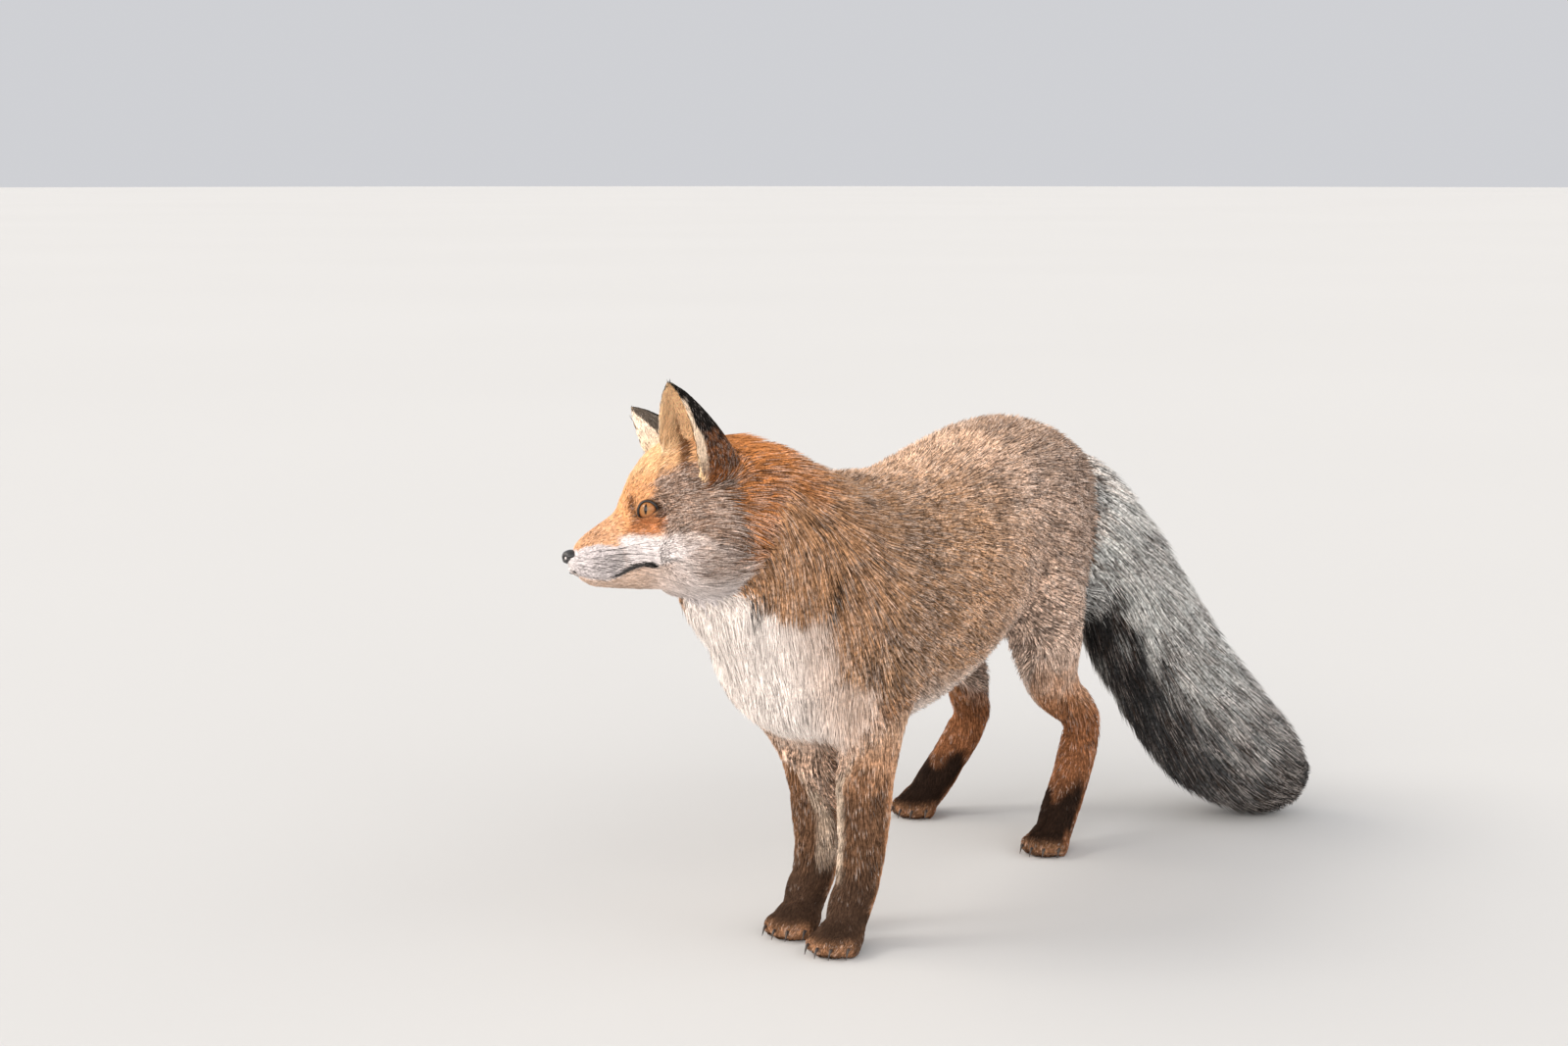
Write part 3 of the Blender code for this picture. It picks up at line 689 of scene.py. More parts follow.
def head_marks(points, _normals, _kind):
    """Orange, with a grizzled cheek, white lip, stripe and throat, and dark lines at eye and mouth."""
    head = in_head(points)
    forward, side, up = head[:, 0], abs(head[:, 1]), head[:, 2]
    uneven = 0.0012 * ripple(points, 0.012, 11)
    face = np.column_stack([forward, up])
    over_mouth = up - height_of(MOUTH, forward)
    low_bridge = ramp(0.07, 0.03, forward) * ramp(0.03, 0.0, up)
    brow = ramp(0.050, 0.030, forward) * ramp(0.034, 0.050, up)
    # the grizzled cheek, behind the eye and under the ear
    cheek_top = np.minimum(0.0345 + 0.9 * np.maximum(0.0235 - forward, 0), 0.044)
    start = 0.0050 * ramp(0.018, 0.030, up)
    cheek = ramp(0.0265 + start, 0.0195 - start, forward + uneven)
    cheek *= ramp(0.004, -0.006, up - cheek_top + uneven * 2) * ramp(0.020, 0.028, side)
    # white of the lip, the cheek's stripe, the chin and the throat
    white = ramp(0.0016, -0.0016, up - height_of(BRIDGE_EDGE, forward) + uneven * 0.5)
    white *= ramp(0.050, 0.054, forward)
    soft = 0.0032 + 0.0048 * ramp(0.035, 0.010, forward)
    stripe = ramp(1, -1, (up - height_of(CHEEK_EDGE, forward)) / soft) * ramp(0.058, 0.050, forward)
    white = np.maximum(white, stripe)
    # painted shade on the chin and lower jaw, below the mouth line
    jaw_shade = ramp(0.0, -0.003, over_mouth) * ramp(0.000, 0.045, forward)
    back = ramp(0.028, -0.010, forward + uneven * 3) * ramp(-0.066, -0.040, up) * white
    # round the eye
    under = line_distance(face, UNDER_EYE)
    beside = ramp(0.012, 0.020, side)
    patch = inside_ring(face, np.array([*UNDER_EYE, (0.0240, 0.0120), (0.0400, 0.0120)])) * beside
    patch *= ramp(0.0, 0.0022, under)
    tear = ramp(0.0026, 0.0006, line_distance(face, TEAR_MARK)) * ramp(0.008, 0.014, side)
    tear *= 0.45 + 0.55 * ramp(0.016, 0.020, up)
    liner = ramp(0.0022, 0.0008, line_distance(face, EYE_LINE)) * ramp(0.018, 0.026, side)
    above = ramp(-0.002, 0.002, up - 0.0140)
    lid = ramp(0.0016, 0.0008, lid_distance(mirrored(head)) - 0.0006 * above) * (0.35 + 0.65 * above)
    # the lips and the whisker bed
    rear = ramp(0.075, 0.060, forward)
    lips = ramp(0.0010, 0.0004, line_distance(face, MOUTH) - 0.0008 * rear) * ramp(0.026, 0.032, forward)
    bed = ramp(0.052, 0.062, forward) * ramp(0.094, 0.086, forward) * white * (1 - jaw_shade)
    # painted shade in the cup of the ear and along the edge behind the cheek, and the nape behind that
    cup_shade = ear_cup_shade(forward, up) * ramp(0.050, 0.042, side) * ramp(0.012, 0.020, side)
    # painted shade along the edge behind the cheek
    slit = spot((forward, -0.036, 0.0038)) * ramp(-0.05, -0.03, up)
    slit *= ramp(0.036, 0.026, up) * ramp(0.035, 0.045, side)
    nape = ramp(-0.033, -0.045, forward + uneven * 2) * ramp(-0.058, -0.030, up)
    rows = [0.50 * bed * ramp(0.0010, 0.0003, abs(over_mouth - row)) for row in WHISKER_ROWS]
    jowl = spot((forward, -0.0283, 0.0050), (up, -0.0425, 0.0085)) * 0.8
    corner = spot((forward, 0.0375, 0.0022), (up, 0.0140, 0.0030)) * 0.7
    smudge = spot((forward, 0.0570, 0.0060), (up, -0.0150, 0.0055)) * 0.75
    # painted shadow under the ear's root
    shade_under_ear = spot((forward, -0.020, 0.018), (up, 0.027, 0.007)) * 0.9
    colour = layered(
        ORANGE,
        (RUST, 0.25 * low_bridge),
        (PALE_ORANGE, 0.4 * brow),
        (mixed(SAND, ORANGE, 0.4), 0.6 * ramp(0.044, 0.058, forward)),
        (CHEEK, cheek),
        (FACE_WHITE, white),
        # painted shade on the chin and lower jaw
        (JAW_SHADE, jaw_shade),
        (mixed(CHEEK, BROWN, 0.12), 0.9 * back),
        (BROWN * 0.45, jowl * ramp(0.038, 0.048, side)),
        (UNDER_EYE_RUST, 0.85 * patch),
        (RUST * 0.80, 0.65 * ramp(0.0020, 0.0004, under) * beside),
        (RUST * 0.28, 0.9 * tear),
        (RUST * 0.35, corner * ramp(0.012, 0.018, side)),
        (mixed(BLACK, RUST, 0.25), 0.9 * liner),
        (WARM_BLACK, 0.95 * lid),
        (BLACK, lips * (0.5 + 0.5 * rear)),
        (SMOKE, 0.60 * ramp(0.0018, 0.0004, line_distance(face, FOLD)) * ramp(0.030, 0.040, side)),
        (SMOKE, smudge * ramp(0.006, 0.012, side)),
        (WHISKER_BED, 0.75 * bed),
        *((SMOKE, row) for row in rows),
        (BLACK, 0.85 * spot((forward, 0.0852, 0.0011), (up, -0.0150, 0.0011))),
        # painted shade in the cup of the ear
        (CUP_SHADE, 0.9 * cup_shade),
        (NAPE, nape),
        # painted shade behind the cheek
        (BROWN * 0.5, 0.9 * slit),
        # painted shadow under the ear's root
        (BROWN * 0.6, shade_under_ear * ramp(0.032, 0.042, side)),
    )
    dark = 0.16 + 0.36 * cheek * (1 - white) + 0.30 * back - 0.10 * white
    return colour, dark, 0.20 + 0.15 * cheek + 0.2 * white


def ear_inside(points, normals, side):
    """1 where an ear's surface looks into its own cup."""
    root, tip = ear_axis(side)
    head = in_head(points)
    way = unit(tip - root)
    share = (head - root) @ way
    axis = root + share[:, None] * way
    faces = (normals @ HEAD_AXES * (axis - head)).sum(axis=1)
    return ramp(-0.001, 0.001, faces), share / np.linalg.norm(tip - root)


def ear_cup_shade(forward, up, to_rim=False):
    """1 in the painted shade of a left ear's cup, or with to_rim from there back to its outer rim."""
    front, rear = (np.interp(up, EAR_CUP_SHADE[:, 0], EAR_CUP_SHADE[:, i]) for i in (1, 2))
    inside = ramp(-0.0020, 0.0016, front - forward) * ramp(0.090, 0.074, up) * ramp(0.034, 0.040, up)
    return inside if to_rim else inside * ramp(-0.0008, 0.0008, forward - rear)


def ear_marks(points, normals, _kind):
    """Black behind, mottled to rust at the root, with a pale rim, and a lining darkened by painted shade in
    the cup.
    """
    head = in_head(points)
    facing = normals @ HEAD_AXES
    side = np.where(head[:, 1] > 0, 1, -1)
    up = head[:, 2]
    forward = head[:, 0] - np.where(side < 0, EAR_LEAN * (up - 0.032) / 0.074, 0)
    inner = np.zeros(len(points))
    for sign in (1, -1):
        inner[side == sign] = ear_inside(points[side == sign], normals[side == sign], sign)[0]
    mottle = ripple(points, 0.006, 21)
    rim = np.interp(up, EAR_RIM[:, 0], EAR_RIM[:, 1])
    # painted shade darkens the lining in the cup
    in_shade = ear_cup_shade(forward, up, to_rim=True) * ramp(0.0010, 0.0035, forward - rim)
    lining = mixed(EAR_LINING, CUP_SHADE, 0.85 * in_shade)
    behind = -0.85 * facing[:, 0] + 0.52 * side * facing[:, 1]
    band = ramp(-0.001, 0.001, forward - rim) * ramp(EAR_RIM_TOP + 0.003, EAR_RIM_TOP - 0.003, up)
    band *= 0.25 + 0.75 * ramp(0.030, 0.050, up)
    black = ramp(0.054, 0.068, up + 0.004 * mottle)
    patchy = ramp(-0.4, 0.4, mottle) * ramp(0.026, 0.044, up)
    root = mixed(EAR_ROOT, WARM_BLACK, 0.7 * patchy)
    outside = mixed(mixed(root, BLACK, black), mixed(CREAM, PALE_ORANGE, 0.6) * 0.74, band)
    medial = mixed(PALE_ORANGE, CREAM, 0.5 * ramp(0.04, 0.09, up))
    rear = np.interp(up, EAR_BACK[:, 0], EAR_BACK[:, 1])
    edge = ramp(0.0008, -0.0008, forward - rear) * ramp(0.056, 0.066, up)
    medial = mixed(medial, BLACK, 0.9 * edge)
    outside = mixed(medial, outside, ramp(-0.05, 0.20, behind))
    dark = 0.12 - 0.09 * inner + 0.40 * ramp(0.0, 0.3, behind) * (1 - inner) * (1 - band) * (1 - black)
    return mixed(outside, lining, inner), dark, 0.16


def neck_marks(points, normals, _kind):
    """Barred fawn under an orange nape, with the bib's top between two black marks."""
    body = points - BODY
    x, _, z = body.T
    uneven = 0.010 * ripple(points, 0.040, 31) + 0.005 * ripple(points, 0.015, 32)
    bars = np.sin((x * 0.9 - z * 0.35) * 210 + 2.0 * ripple(points, 0.05, 33))
    streak = ramp(0.55, 1.0, bars) * ramp(0.42, 0.36, z) * ramp(-0.31, -0.27, x)
    cream, white = bib(body, normals, uneven)
    beside = [ramp(0.0042, 0.0016, line_distance(body, line) + 0.1 * uneven) for line in NECK_STREAKS]
    colour = layered(
        mixed(ORANGE, FAWN, 0.65) * 0.74,
        (NAPE, ramp(0.36, 0.42, z + uneven) * ramp(-0.20, -0.27, x)),
        (FAWN * 0.74, ramp(-0.27, -0.20, x + uneven)),
        (BROWN, 0.35 * streak),
        (cream, white),
        *((BLACK, 0.9 * mark) for mark in beside),
    )
    return colour, 0.34 + 0.12 * streak - 0.26 * white, 0.26 + 0.10 * white


def bib(body, normals, uneven):
    """The throat's and chest's cream, duller towards the left elbow as painted shade, and its share at each
    point.
    """
    x, y, z = body.T
    half, middle = (np.interp(z, BIB[:, 0], BIB[:, i]) for i in (1, 2))
    front = ramp(0.35, 0.05, normals[:, 0]) * ramp(-0.215, -0.235, x)
    white = ramp(0.008, -0.008, abs(y - middle) - half + uneven) * front * ramp(0.375, 0.335, z)
    # painted shade: the cream dulls to sand towards the left elbow
    return mixed(CREAM, SAND, 0.85 * ramp(-0.005, -0.055, y)), white


def trunk_marks(points, normals, _kind):
    """Fawn that pales to the rear, with a painted highlight along the top of the back, a grey-brown rump,
    barred shoulders, pale thighs and the bib.
    """
    body = points - BODY
    x, _, z = body.T
    uneven = 0.012 * ripple(points, 0.050, 41) + 0.006 * ripple(points, 0.018, 42)
    along, height = x + uneven, z + uneven
    # a painted highlight along the top of the back, with fewer dark tips there
    back = ramp(0.35, 0.40, z + uneven * 0.6)
    bars = np.sin((x + 0.15 * z) * 170 + 2.2 * ripple(points, 0.06, 43))
    shoulder = ramp(-0.10, -0.16, x) * ramp(0.18, 0.22, z) * ramp(0.37, 0.33, z)
    elbow = ramp(0.235, 0.175, height) * ramp(-0.12, -0.17, x)
    under = ramp(-0.35, -0.80, normals[:, 2]) * ramp(0.14, 0.08, x)
    cream, white = bib(body, normals, uneven)
    leg_front = ramp(0.20, 0.17, z) * ramp(0.2, -0.4, normals[:, 0]) * ramp(-0.13, -0.16, x) * (1 - white)
    rump = ramp(0.10, 0.19, along) * ramp(0.33, 0.37, height)
    haunch = ramp(0.14, 0.23, along) * ramp(0.20, 0.25, height)
    rear = ramp(0.27, 0.31, x) * ramp(0.36, 0.30, z)
    colour = layered(
        FAWN * 0.74,
        (FAWN, ramp(-0.13, -0.05, along)),
        (SAND, ramp(-0.06, 0.16, along)),
        # painted highlight along the top of the back
        (BACK_HIGHLIGHT, 0.85 * back),
        (BROWN, 0.30 * ramp(0.3, 1.0, bars) * shoulder),
        (mixed(SAND, CREAM, 0.15), ramp(0.27, 0.17, height) * ramp(0.09, 0.13, x)),
        (TAN, 0.8 * elbow),
        (mixed(CREAM, CHEEK, 0.35), under),
        (cream, white),
        (mixed(FAWN, CREAM, 0.30), 0.8 * leg_front),
        (mixed(BROWN, SMOKE, 0.5), 0.50 * np.maximum(rump, haunch)),
        (mixed(CREAM, SAND, 0.4), 0.7 * rear),
    )
    dark = 0.46 * (1 - 0.85 * white) * (1 - 0.6 * under) * (1 - 0.25 * back) + 0.06 * shoulder
    return colour, dark, 0.30 + 0.10 * white


def leg_marks(points, normals, kind):
    """Tan legs, cream inside, with grizzled fronts and dark feet."""
    _, y, z = (points - BODY).T
    uneven = 0.006 * ripple(points, 0.025, 51)
    height = z + uneven
    facing = normals[:, 0]
    inner = -normals[:, 1] * np.sign(y - LEGS_PART[kind[:4]])
    if kind.startswith("fore"):
        front = ramp(0.35, -0.40, facing) * ramp(0.165, 0.110, height)
        layers = (
            (mixed(FAWN, SAND, 0.5), ramp(0.12, 0.19, height)),
            (BROWN * 0.42, 0.80 * front),
            (WARM_BLACK, 0.70 * ramp(0.075, 0.045, height) * ramp(0.3, -0.3, facing)),
            (mixed(CREAM, PALE_ORANGE, 0.5) * 0.70, 0.85 * ramp(0.25, 0.70, inner) * ramp(0.045, 0.070, z)),
            (BROWN * 0.34, 0.85 * ramp(0.034, 0.024, z + uneven * 0.4)),
        )
    else:
        patch = ramp(0.066, 0.050, height) * ramp(0.20, -0.30, facing)
        layers = (
            (mixed(SAND, CREAM, 0.15), ramp(0.12, 0.19, height)),
            (mixed(CREAM, SAND, 0.4), 0.7 * ramp(0.10, 0.14, z) * ramp(0.35, 0.80, inner)),
            (RUST * 0.50, 0.70 * ramp(0.155, 0.105, height)),
            (BLACK, 0.94 * patch),
        )
    toes = ramp(0.018, 0.008, z) * ramp(0.2, -0.4, facing)
    colour = layered(TAN, *layers, (mixed(TAN, BROWN, 0.3), 0.8 * toes))
    ticked = ramp(0.02, 0.10, colour.mean(axis=1))  # no pale ticks where the coat is black
    return colour, 0.24 * ticked, 0.22 * ticked


def brush_marks(points, normals, _kind):
    """Pale grey above, mottled with dark bars, black along its lower left edge and at the end."""
    body = points - BODY
    places = np.linspace(0, 1, 61)
    known = np.linspace(0, 1, len(BRUSH))
    course = np.column_stack([np.interp(places, known, BRUSH[:, i]) for i in range(3)])
    share = places[np.argmin(((body[:, None] - course) ** 2).sum(axis=2), axis=1)]
    uneven = 0.05 * ripple(points, 0.030, 61) + 0.03 * ripple(points, 0.012, 62)
    along = share + uneven
    facing = normals @ unit(np.array((0.75, -0.25, 0.60)))
    edge = ramp(-0.60, -0.86, facing + 2 * uneven) * ramp(0.14, 0.24, share) * ramp(0.84, 0.70, share)
    low_side = ramp(-0.25, -0.80, facing + 4 * uneven) * ramp(0.52, 0.68, share)
    bars = ramp(0.30, 0.95, np.sin(share * 46 + 3.1 + 1.6 * ripple(points, 0.05, 63)))
    bars *= ramp(0.10, 0.22, share)
    colour = layered(
        GREY,
        (mixed(SAND, CREAM, 0.2), 0.8 * ramp(0.34, 0.06, along)),
        (mixed(BROWN, SAND, 0.4), 0.75 * ramp(0.15, 0.03, along)),
        (BLACK * 0.6, edge),
        (COOL_SMOKE * 0.4, 0.85 * low_side),
        (COOL_SMOKE, 0.38 * bars),
        (COOL_SMOKE, 0.26 * ramp(0.25, 0.45, along)),
        (COOL_SMOKE * 0.6, 0.62 * ramp(0.52, 0.78, along)),
        (BLACK, 0.80 * ramp(0.82, 0.96, share + uneven * 0.5)),
    )
    return colour, 0.32 + 0.16 * bars, 0.34 * (1 - edge)


# ------------------------------------------------------------------ the tufts
class Coat:
    """The finished skin and everything that a tuft at one of its points needs to know."""

    def __init__(self, points, triangles, region, fields):
        self.points, self.triangles, self.region = points, triangles, region
        self.normals = normals_of(points, triangles)
        # broad normals for the coat's shading, but not where both sides of an ear would mix
        broad = unit(spread(self.normals, edges_of(triangles), SHADE_ROUNDS))
        agreed = ramp(0.70, 0.95, (broad * self.normals).sum(axis=1))
        self.facing = unit(mixed(self.normals, broad, agreed))
        self.fields = fields
        a, b, c = (points[triangles[:, i]] for i in range(3))
        self.area = np.linalg.norm(np.cross(b - a, c - a), axis=1) / 2

    def scattered(self, chosen, count, dice):
        """Roots over the chosen triangles: where, which triangle, and its corners' shares."""
        weight = self.area[chosen] * self.fields[self.triangles[chosen], 3].mean(axis=1)
        total = np.cumsum(weight)
        picks = (np.arange(count) + dice.random(count)) / count * total[-1]
        triangle = chosen[np.minimum(np.searchsorted(total, picks), len(chosen) - 1)]
        u, v = dice.random(count), dice.random(count)
        over = u + v > 1
        u, v = np.where(over, 1 - u, u), np.where(over, 1 - v, v)
        shares = np.column_stack([1 - u - v, u, v])[:, :, None]
        return triangle, shares

    def at(self, values, triangle, shares):
        return (values[self.triangles[triangle]] * shares).sum(axis=1)


def piece_of(coat):
    """Which piece of the coat each triangle of the skin belongs to."""
    middles = coat.points[coat.triangles].mean(axis=1)
    kinds = KINDS[coat.region[coat.triangles[:, 0]]]
    forward = in_head(middles)[:, 0]
    along = (middles - BODY)[:, 0]
    # the first that is true of a triangle names its piece
    places = {
        "coat_shoulders": (kinds == "trunk") & (along < -0.080),
        "coat_rump": (kinds == "trunk") & (along > 0.120),
        "coat_face": (kinds == "head") & (forward > 0.004),
        "coat_crown": (kinds == "head") | (kinds == "ear"),
        "coat_neck": kinds == "neck",
        "coat_brush": np.char.startswith(kinds, "tail"),
        "coat_forelegs": np.char.startswith(kinds, "fore"),
        "coat_hindlegs": np.char.startswith(kinds, "hind"),
    }
    return np.select(list(places.values()), list(places), "coat_flanks")


def unwrapped(points, chart):
    """A place from 0 to 1 twice for each point: round and along the long axis of its own chart."""
    places = np.zeros((len(points), 2))
    charts = sorted(set(chart))
    for index, name in enumerate(charts):
        here = np.flatnonzero(chart == name)
        middle = points[here].mean(axis=0)
        _, _, axes = np.linalg.svd(points[here] - middle, full_matrices=False)
        local = (points[here] - middle) @ axes.T
        turn = np.arctan2(local[:, 2], local[:, 1]) / math.tau + 0.5
        reach = local[:, 0] - local[:, 0].min()
        strip = np.clip(turn, 0.01, 0.99)
        places[here, 0] = (index + strip) / len(charts)
        places[here, 1] = 0.01 + 0.98 * reach / max(reach.max(), 1e-6)
    return places


def lid_distance(left):
    """How far points of the head's left side lie outside the eye's opening, seen along its look."""
    along, upward, outward = eye_axes(1)
    offset = left - EYE
    flat = np.column_stack([offset @ along, offset @ upward])
    ring, _ = lid_outline()
    away = line_distance(flat, np.vstack([ring, ring[:1]]))
    away = np.where(inside_ring(flat, ring), 0.0, away)
    return np.where((offset @ outward > -0.003) & (left[:, 1] > 0), away, 1.0)


def clear_of_face(roots):
    """False where a tuft would grow over an eye, the lips or the nose."""
    left = mirrored(in_head(roots))
    # hairs in front of the eye point at it, so that they start further off
    ahead = np.where(left[:, 0] > EYE[0] + 0.004, 0.0034, 0.0008)
    clear = lid_distance(left) > ahead
    lips = line_distance(left[:, (0, 2)], MOUTH)
    bare = 0.0007 + 0.0010 * ramp(0.072, 0.058, left[:, 0])
    clear &= ~((lips < bare) & (left[:, 0] > 0.030) & (left[:, 1] < 0.034))
    nose = (left - NOSE) / (NOSE_SIZE + 0.0012)
    return clear & (np.linalg.norm(nose, axis=1) > 1)


def locks(roots, spacing, dice):
    """For each root, the way to the middle of its lock of about this many tufts, and the lock's number."""
    seeds = roots[dice.permutation(len(roots))[: max(len(roots) // spacing, 8)]]
    lock = nearest(seeds, roots)
    return seeds[lock] - roots, lock


def held_in(points, outline, limits):
    """The points, with those past the outline by more than their limit brought back to it."""
    points = points.copy()
    for i, (point, limit) in enumerate(zip(points.tolist(), limits.tolist(), strict=True)):
        place, normal, _, _ = outline.find_nearest(point)
        over = (Vector(point) - place).dot(normal) - limit
        if over > 0:
            points[i] -= np.array(normal) * over
    return points


def grow(coat, outline, name, chosen, count, seed):
    """One piece of the coat: closed, pointed tufts that rise from the skin and then lie along it."""
    dice = np.random.default_rng(seed)
    triangle, shares = coat.scattered(chosen, int(count * SPARE), dice)
    roots = coat.at(coat.points, triangle, shares)
    kept = np.flatnonzero(clear_of_face(roots))
    kept = kept[np.sort(dice.permutation(len(kept))[:count])]
    triangle, shares, roots = triangle[kept], shares[kept], roots[kept]
    count = len(roots)
    normals = unit(coat.at(coat.normals, triangle, shares))
    fields = coat.at(coat.fields, triangle, shares)
    depth, length, width, _, gather = fields[:, :5].T
    region = coat.region[coat.triangles[triangle, 0]]
    nodes = np.array(FLESH)[region]
    kinds = KINDS[region]

    lie = fields[:, 5:]
    lie = lie - normals * (lie * normals).sum(axis=1, keepdims=True)
    across = np.cross(normals, unit(lie))
    sway = 0.10 * ripple(roots, 0.035, seed) + 0.09 * dice.normal(size=count)
    lie = lie + across * (sway * np.linalg.norm(lie, axis=1))[:, None]
    inner_ear = np.zeros(count)
    for sign, node in ((1, "ear_left"), (-1, "ear_right")):
        here = nodes == node
        if here.any():
            inside, share = ear_inside(roots[here], normals[here], sign)
            forward = in_head(roots[here])[:, 0]
            inner_ear[here] = inside * ramp(0.90, 0.55, share) * ramp(-0.008, 0.0, forward)
    length = length * (1 + 1.6 * inner_ear)
    depth = depth + 0.0040 * inner_ear

    length = length * dice.uniform(0.75, 1.20, count)
    rise = depth * dice.uniform(0.72, 1.05, count)
    width = width * dice.uniform(0.75, 1.25, count)
    to_lock, _ = locks(roots, LOCK_SIZE, dice)
    middle = roots + lie * (0.42 * length)[:, None] + normals * (0.70 * rise)[:, None]
    middle += to_lock * (0.30 * gather)[:, None]
    tip = roots + lie * length[:, None] + normals * rise[:, None] + to_lock * gather[:, None]
    fray = dice.uniform(*FRAY, count) * depth
    middle = held_in(middle, outline, fray - 0.25 * depth)
    tip = held_in(tip, outline, fray)
    roots = roots - normals * ROOT_DEPTH

    spine = unit(tip - roots)
    wide = unit(np.cross(normals, spine))
    thick = np.cross(spine, wide)
    around = ((0.5, -0.15), (0.0, 0.40), (-0.5, -0.15))  # the ring's places, in shares of the width
    ring = [middle + wide * (u * width)[:, None] + thick * (v * width)[:, None] for u, v in around]
    points = np.stack([roots, *ring, tip], axis=1).reshape(-1, 3)
    # each tuft takes the light as a part of the coat's surface, with some of its own roundness
    even = unit(coat.at(coat.facing, triangle, shares))
    sides, top = ROUNDNESS * wide, 0.5 * (even + thick)
    facing = unit(np.stack([even, top + sides, top, top - sides, even], axis=1))
    points[:, 2] = np.maximum(points[:, 2], COAT_FLOOR)
    pattern = np.array([(0, 2, 1), (0, 3, 2), (0, 1, 3), (4, 1, 2), (4, 2, 3), (4, 3, 1)])
    triangles = (np.arange(count)[:, None, None] * 5 + pattern).reshape(-1, 3)

    # a hair takes the marking of the place where it shows, with a little straying, so that edges interleave
    shown = 0.4 * middle + 0.6 * tip + dice.normal(size=(count, 3)) * (0.07 * length)[:, None]
    colour, dark, pale = markings(shown, normals, kinds)
    _, lock = locks(roots, FINE_SHARED if name in FINE_PIECES else SHARED, dice)
    own, shared = dice.random(count), dice.random(lock.max() + 1)[lock]
    tone = 1 + 0.14 * dice.normal(size=count) + 0.45 * (shared - 0.5)
    colour = colour * np.clip(tone, 0.6, 1.4)[:, None]
    ticked = ramp(0.06, -0.06, 0.25 * own + 0.75 * shared - dark)
    light = ramp(-0.10, 0.10, 0.25 * own + 0.75 * shared - 1 + pale)
    # some ticked hairs are dark at the tip, the others below a pale tip
    banded = (own > 0.5).astype(float)
    tip_colour = mixed(mixed(colour, CREAM, 0.45 * light), WARM_BLACK, 0.88 * ticked * (1 - banded))
    tip_colour = mixed(tip_colour, CREAM, 0.30 * ticked * banded)
    body_colour = mixed(colour, WARM_BLACK, ticked * (0.25 + 0.55 * banded))
    root_colour = mixed(colour * 0.72, SMOKE, 0.25 * ramp(0.004, 0.012, depth) * ramp(0.05, 0.25, dark))
    colours = np.stack([root_colour, body_colour, body_colour, body_colour, tip_colour], axis=1)
    colours = colours.reshape(-1, 3)
    grain = np.repeat(np.clip(dark * 1.6, 0.08, 0.75), 5)
    thing = mesh_object(name, points, triangles, colours, grain)
    thing.data.normals_split_custom_set_from_vertices(facing.reshape(-1, 3).tolist())
    charts = np.where(inner_ear > 0.3, np.char.add(nodes, "_in"), nodes)
    places = unwrapped(roots, charts)
    corner = np.array([(0, -1), (1, 0), (0, 0), (-1, 0), (0, 1)]) * PATCH
    spots = (places[:, None] + corner).reshape(-1, 2)
    unwrap = thing.data.uv_layers.new(name="OFBake")
    unwrap.uv.foreach_set("vector", spots[triangles.ravel()].astype(np.float32).ravel())
    return thing


# --------------------------------------------------------------------- materials
def nodes_of(name):
    made = bpy.data.materials.new(name)
    made.use_nodes = True
    return made, made.node_tree, made.node_tree.nodes["Principled BSDF"]


def add(tree, kind, values=(), links=(), **settings):
    """A node with these settings, values at its inputs and sockets linked to them."""
    node = tree.nodes.new(kind)
    for key, value in settings.items():
        setattr(node, key, value)
    wire(tree, node, values, links)
    return node.outputs


def wire(tree, node, values=(), links=()):
    for key, value in dict(values).items():
        node.inputs[key].default_value = value
    for key, source in dict(links).items():
        tree.links.new(source, node.inputs[key])


def mapped(tree, value, before, after=(0, 1)):
    """A value carried from one span to another."""
    spans = dict(zip(("From Min", "From Max", "To Min", "To Max"), (*before, *after), strict=True))
    return add(tree, "ShaderNodeMapRange", spans, {"Value": value})["Result"]


def banded_colour(tree, value, stops):
    """A colour from a ramp with these stops: position and colour."""
    outputs = add(tree, "ShaderNodeValToRGB", {}, {"Fac": value})
    elements = outputs["Color"].node.color_ramp.elements
    for element, (position, _) in zip(elements, (stops[0], stops[-1]), strict=True):
        element.position = position
    for position, _ in stops[1:-1]:
        elements.new(position)
    for element, (_, colour) in zip(elements, stops, strict=True):
        element.color = (*colour, 1)
    return outputs["Color"]


def fur_material(name, scale, contrast, bump):
    """Hair in the painted colour, darkened and lightened by a fine noise as far as its grain says."""
    made, tree, shader = nodes_of(name)
    painted = add(tree, "ShaderNodeVertexColor", layer_name="fur")["Color"]
    grain = add(tree, "ShaderNodeAttribute", attribute_name="grain")["Fac"]
    place = add(tree, "ShaderNodeTexCoord")["Object"]
    noise = add(tree, "ShaderNodeTexNoise", {"Scale": scale, "Detail": 2}, {"Vector": place})["Fac"]
    span = mapped(tree, noise, (0.32, 0.68), (-contrast, contrast))
    strength = add(tree, "ShaderNodeMath", {}, {0: span, 1: grain}, operation="MULTIPLY")["Value"]
    level = add(tree, "ShaderNodeMath", {1: 1.0}, {0: strength}, operation="ADD")["Value"]
    scaled = add(tree, "ShaderNodeVectorMath", {}, {0: painted, "Scale": level}, operation="SCALE")
    wire(tree, shader, {"Roughness": 0.66, "Specular IOR Level": 0.06}, {"Base Color": scaled["Vector"]})
    if bump:
        raise_by(tree, shader, noise, bump, 0.0006)
    return made


def raise_by(tree, shader, height, strength, distance):
    """Relief in the shader's normal."""
    values = {"Strength": strength, "Distance": distance}
    raised = add(tree, "ShaderNodeBump", values, {"Height": height})
    wire(tree, shader, {}, {"Normal": raised["Normal"]})


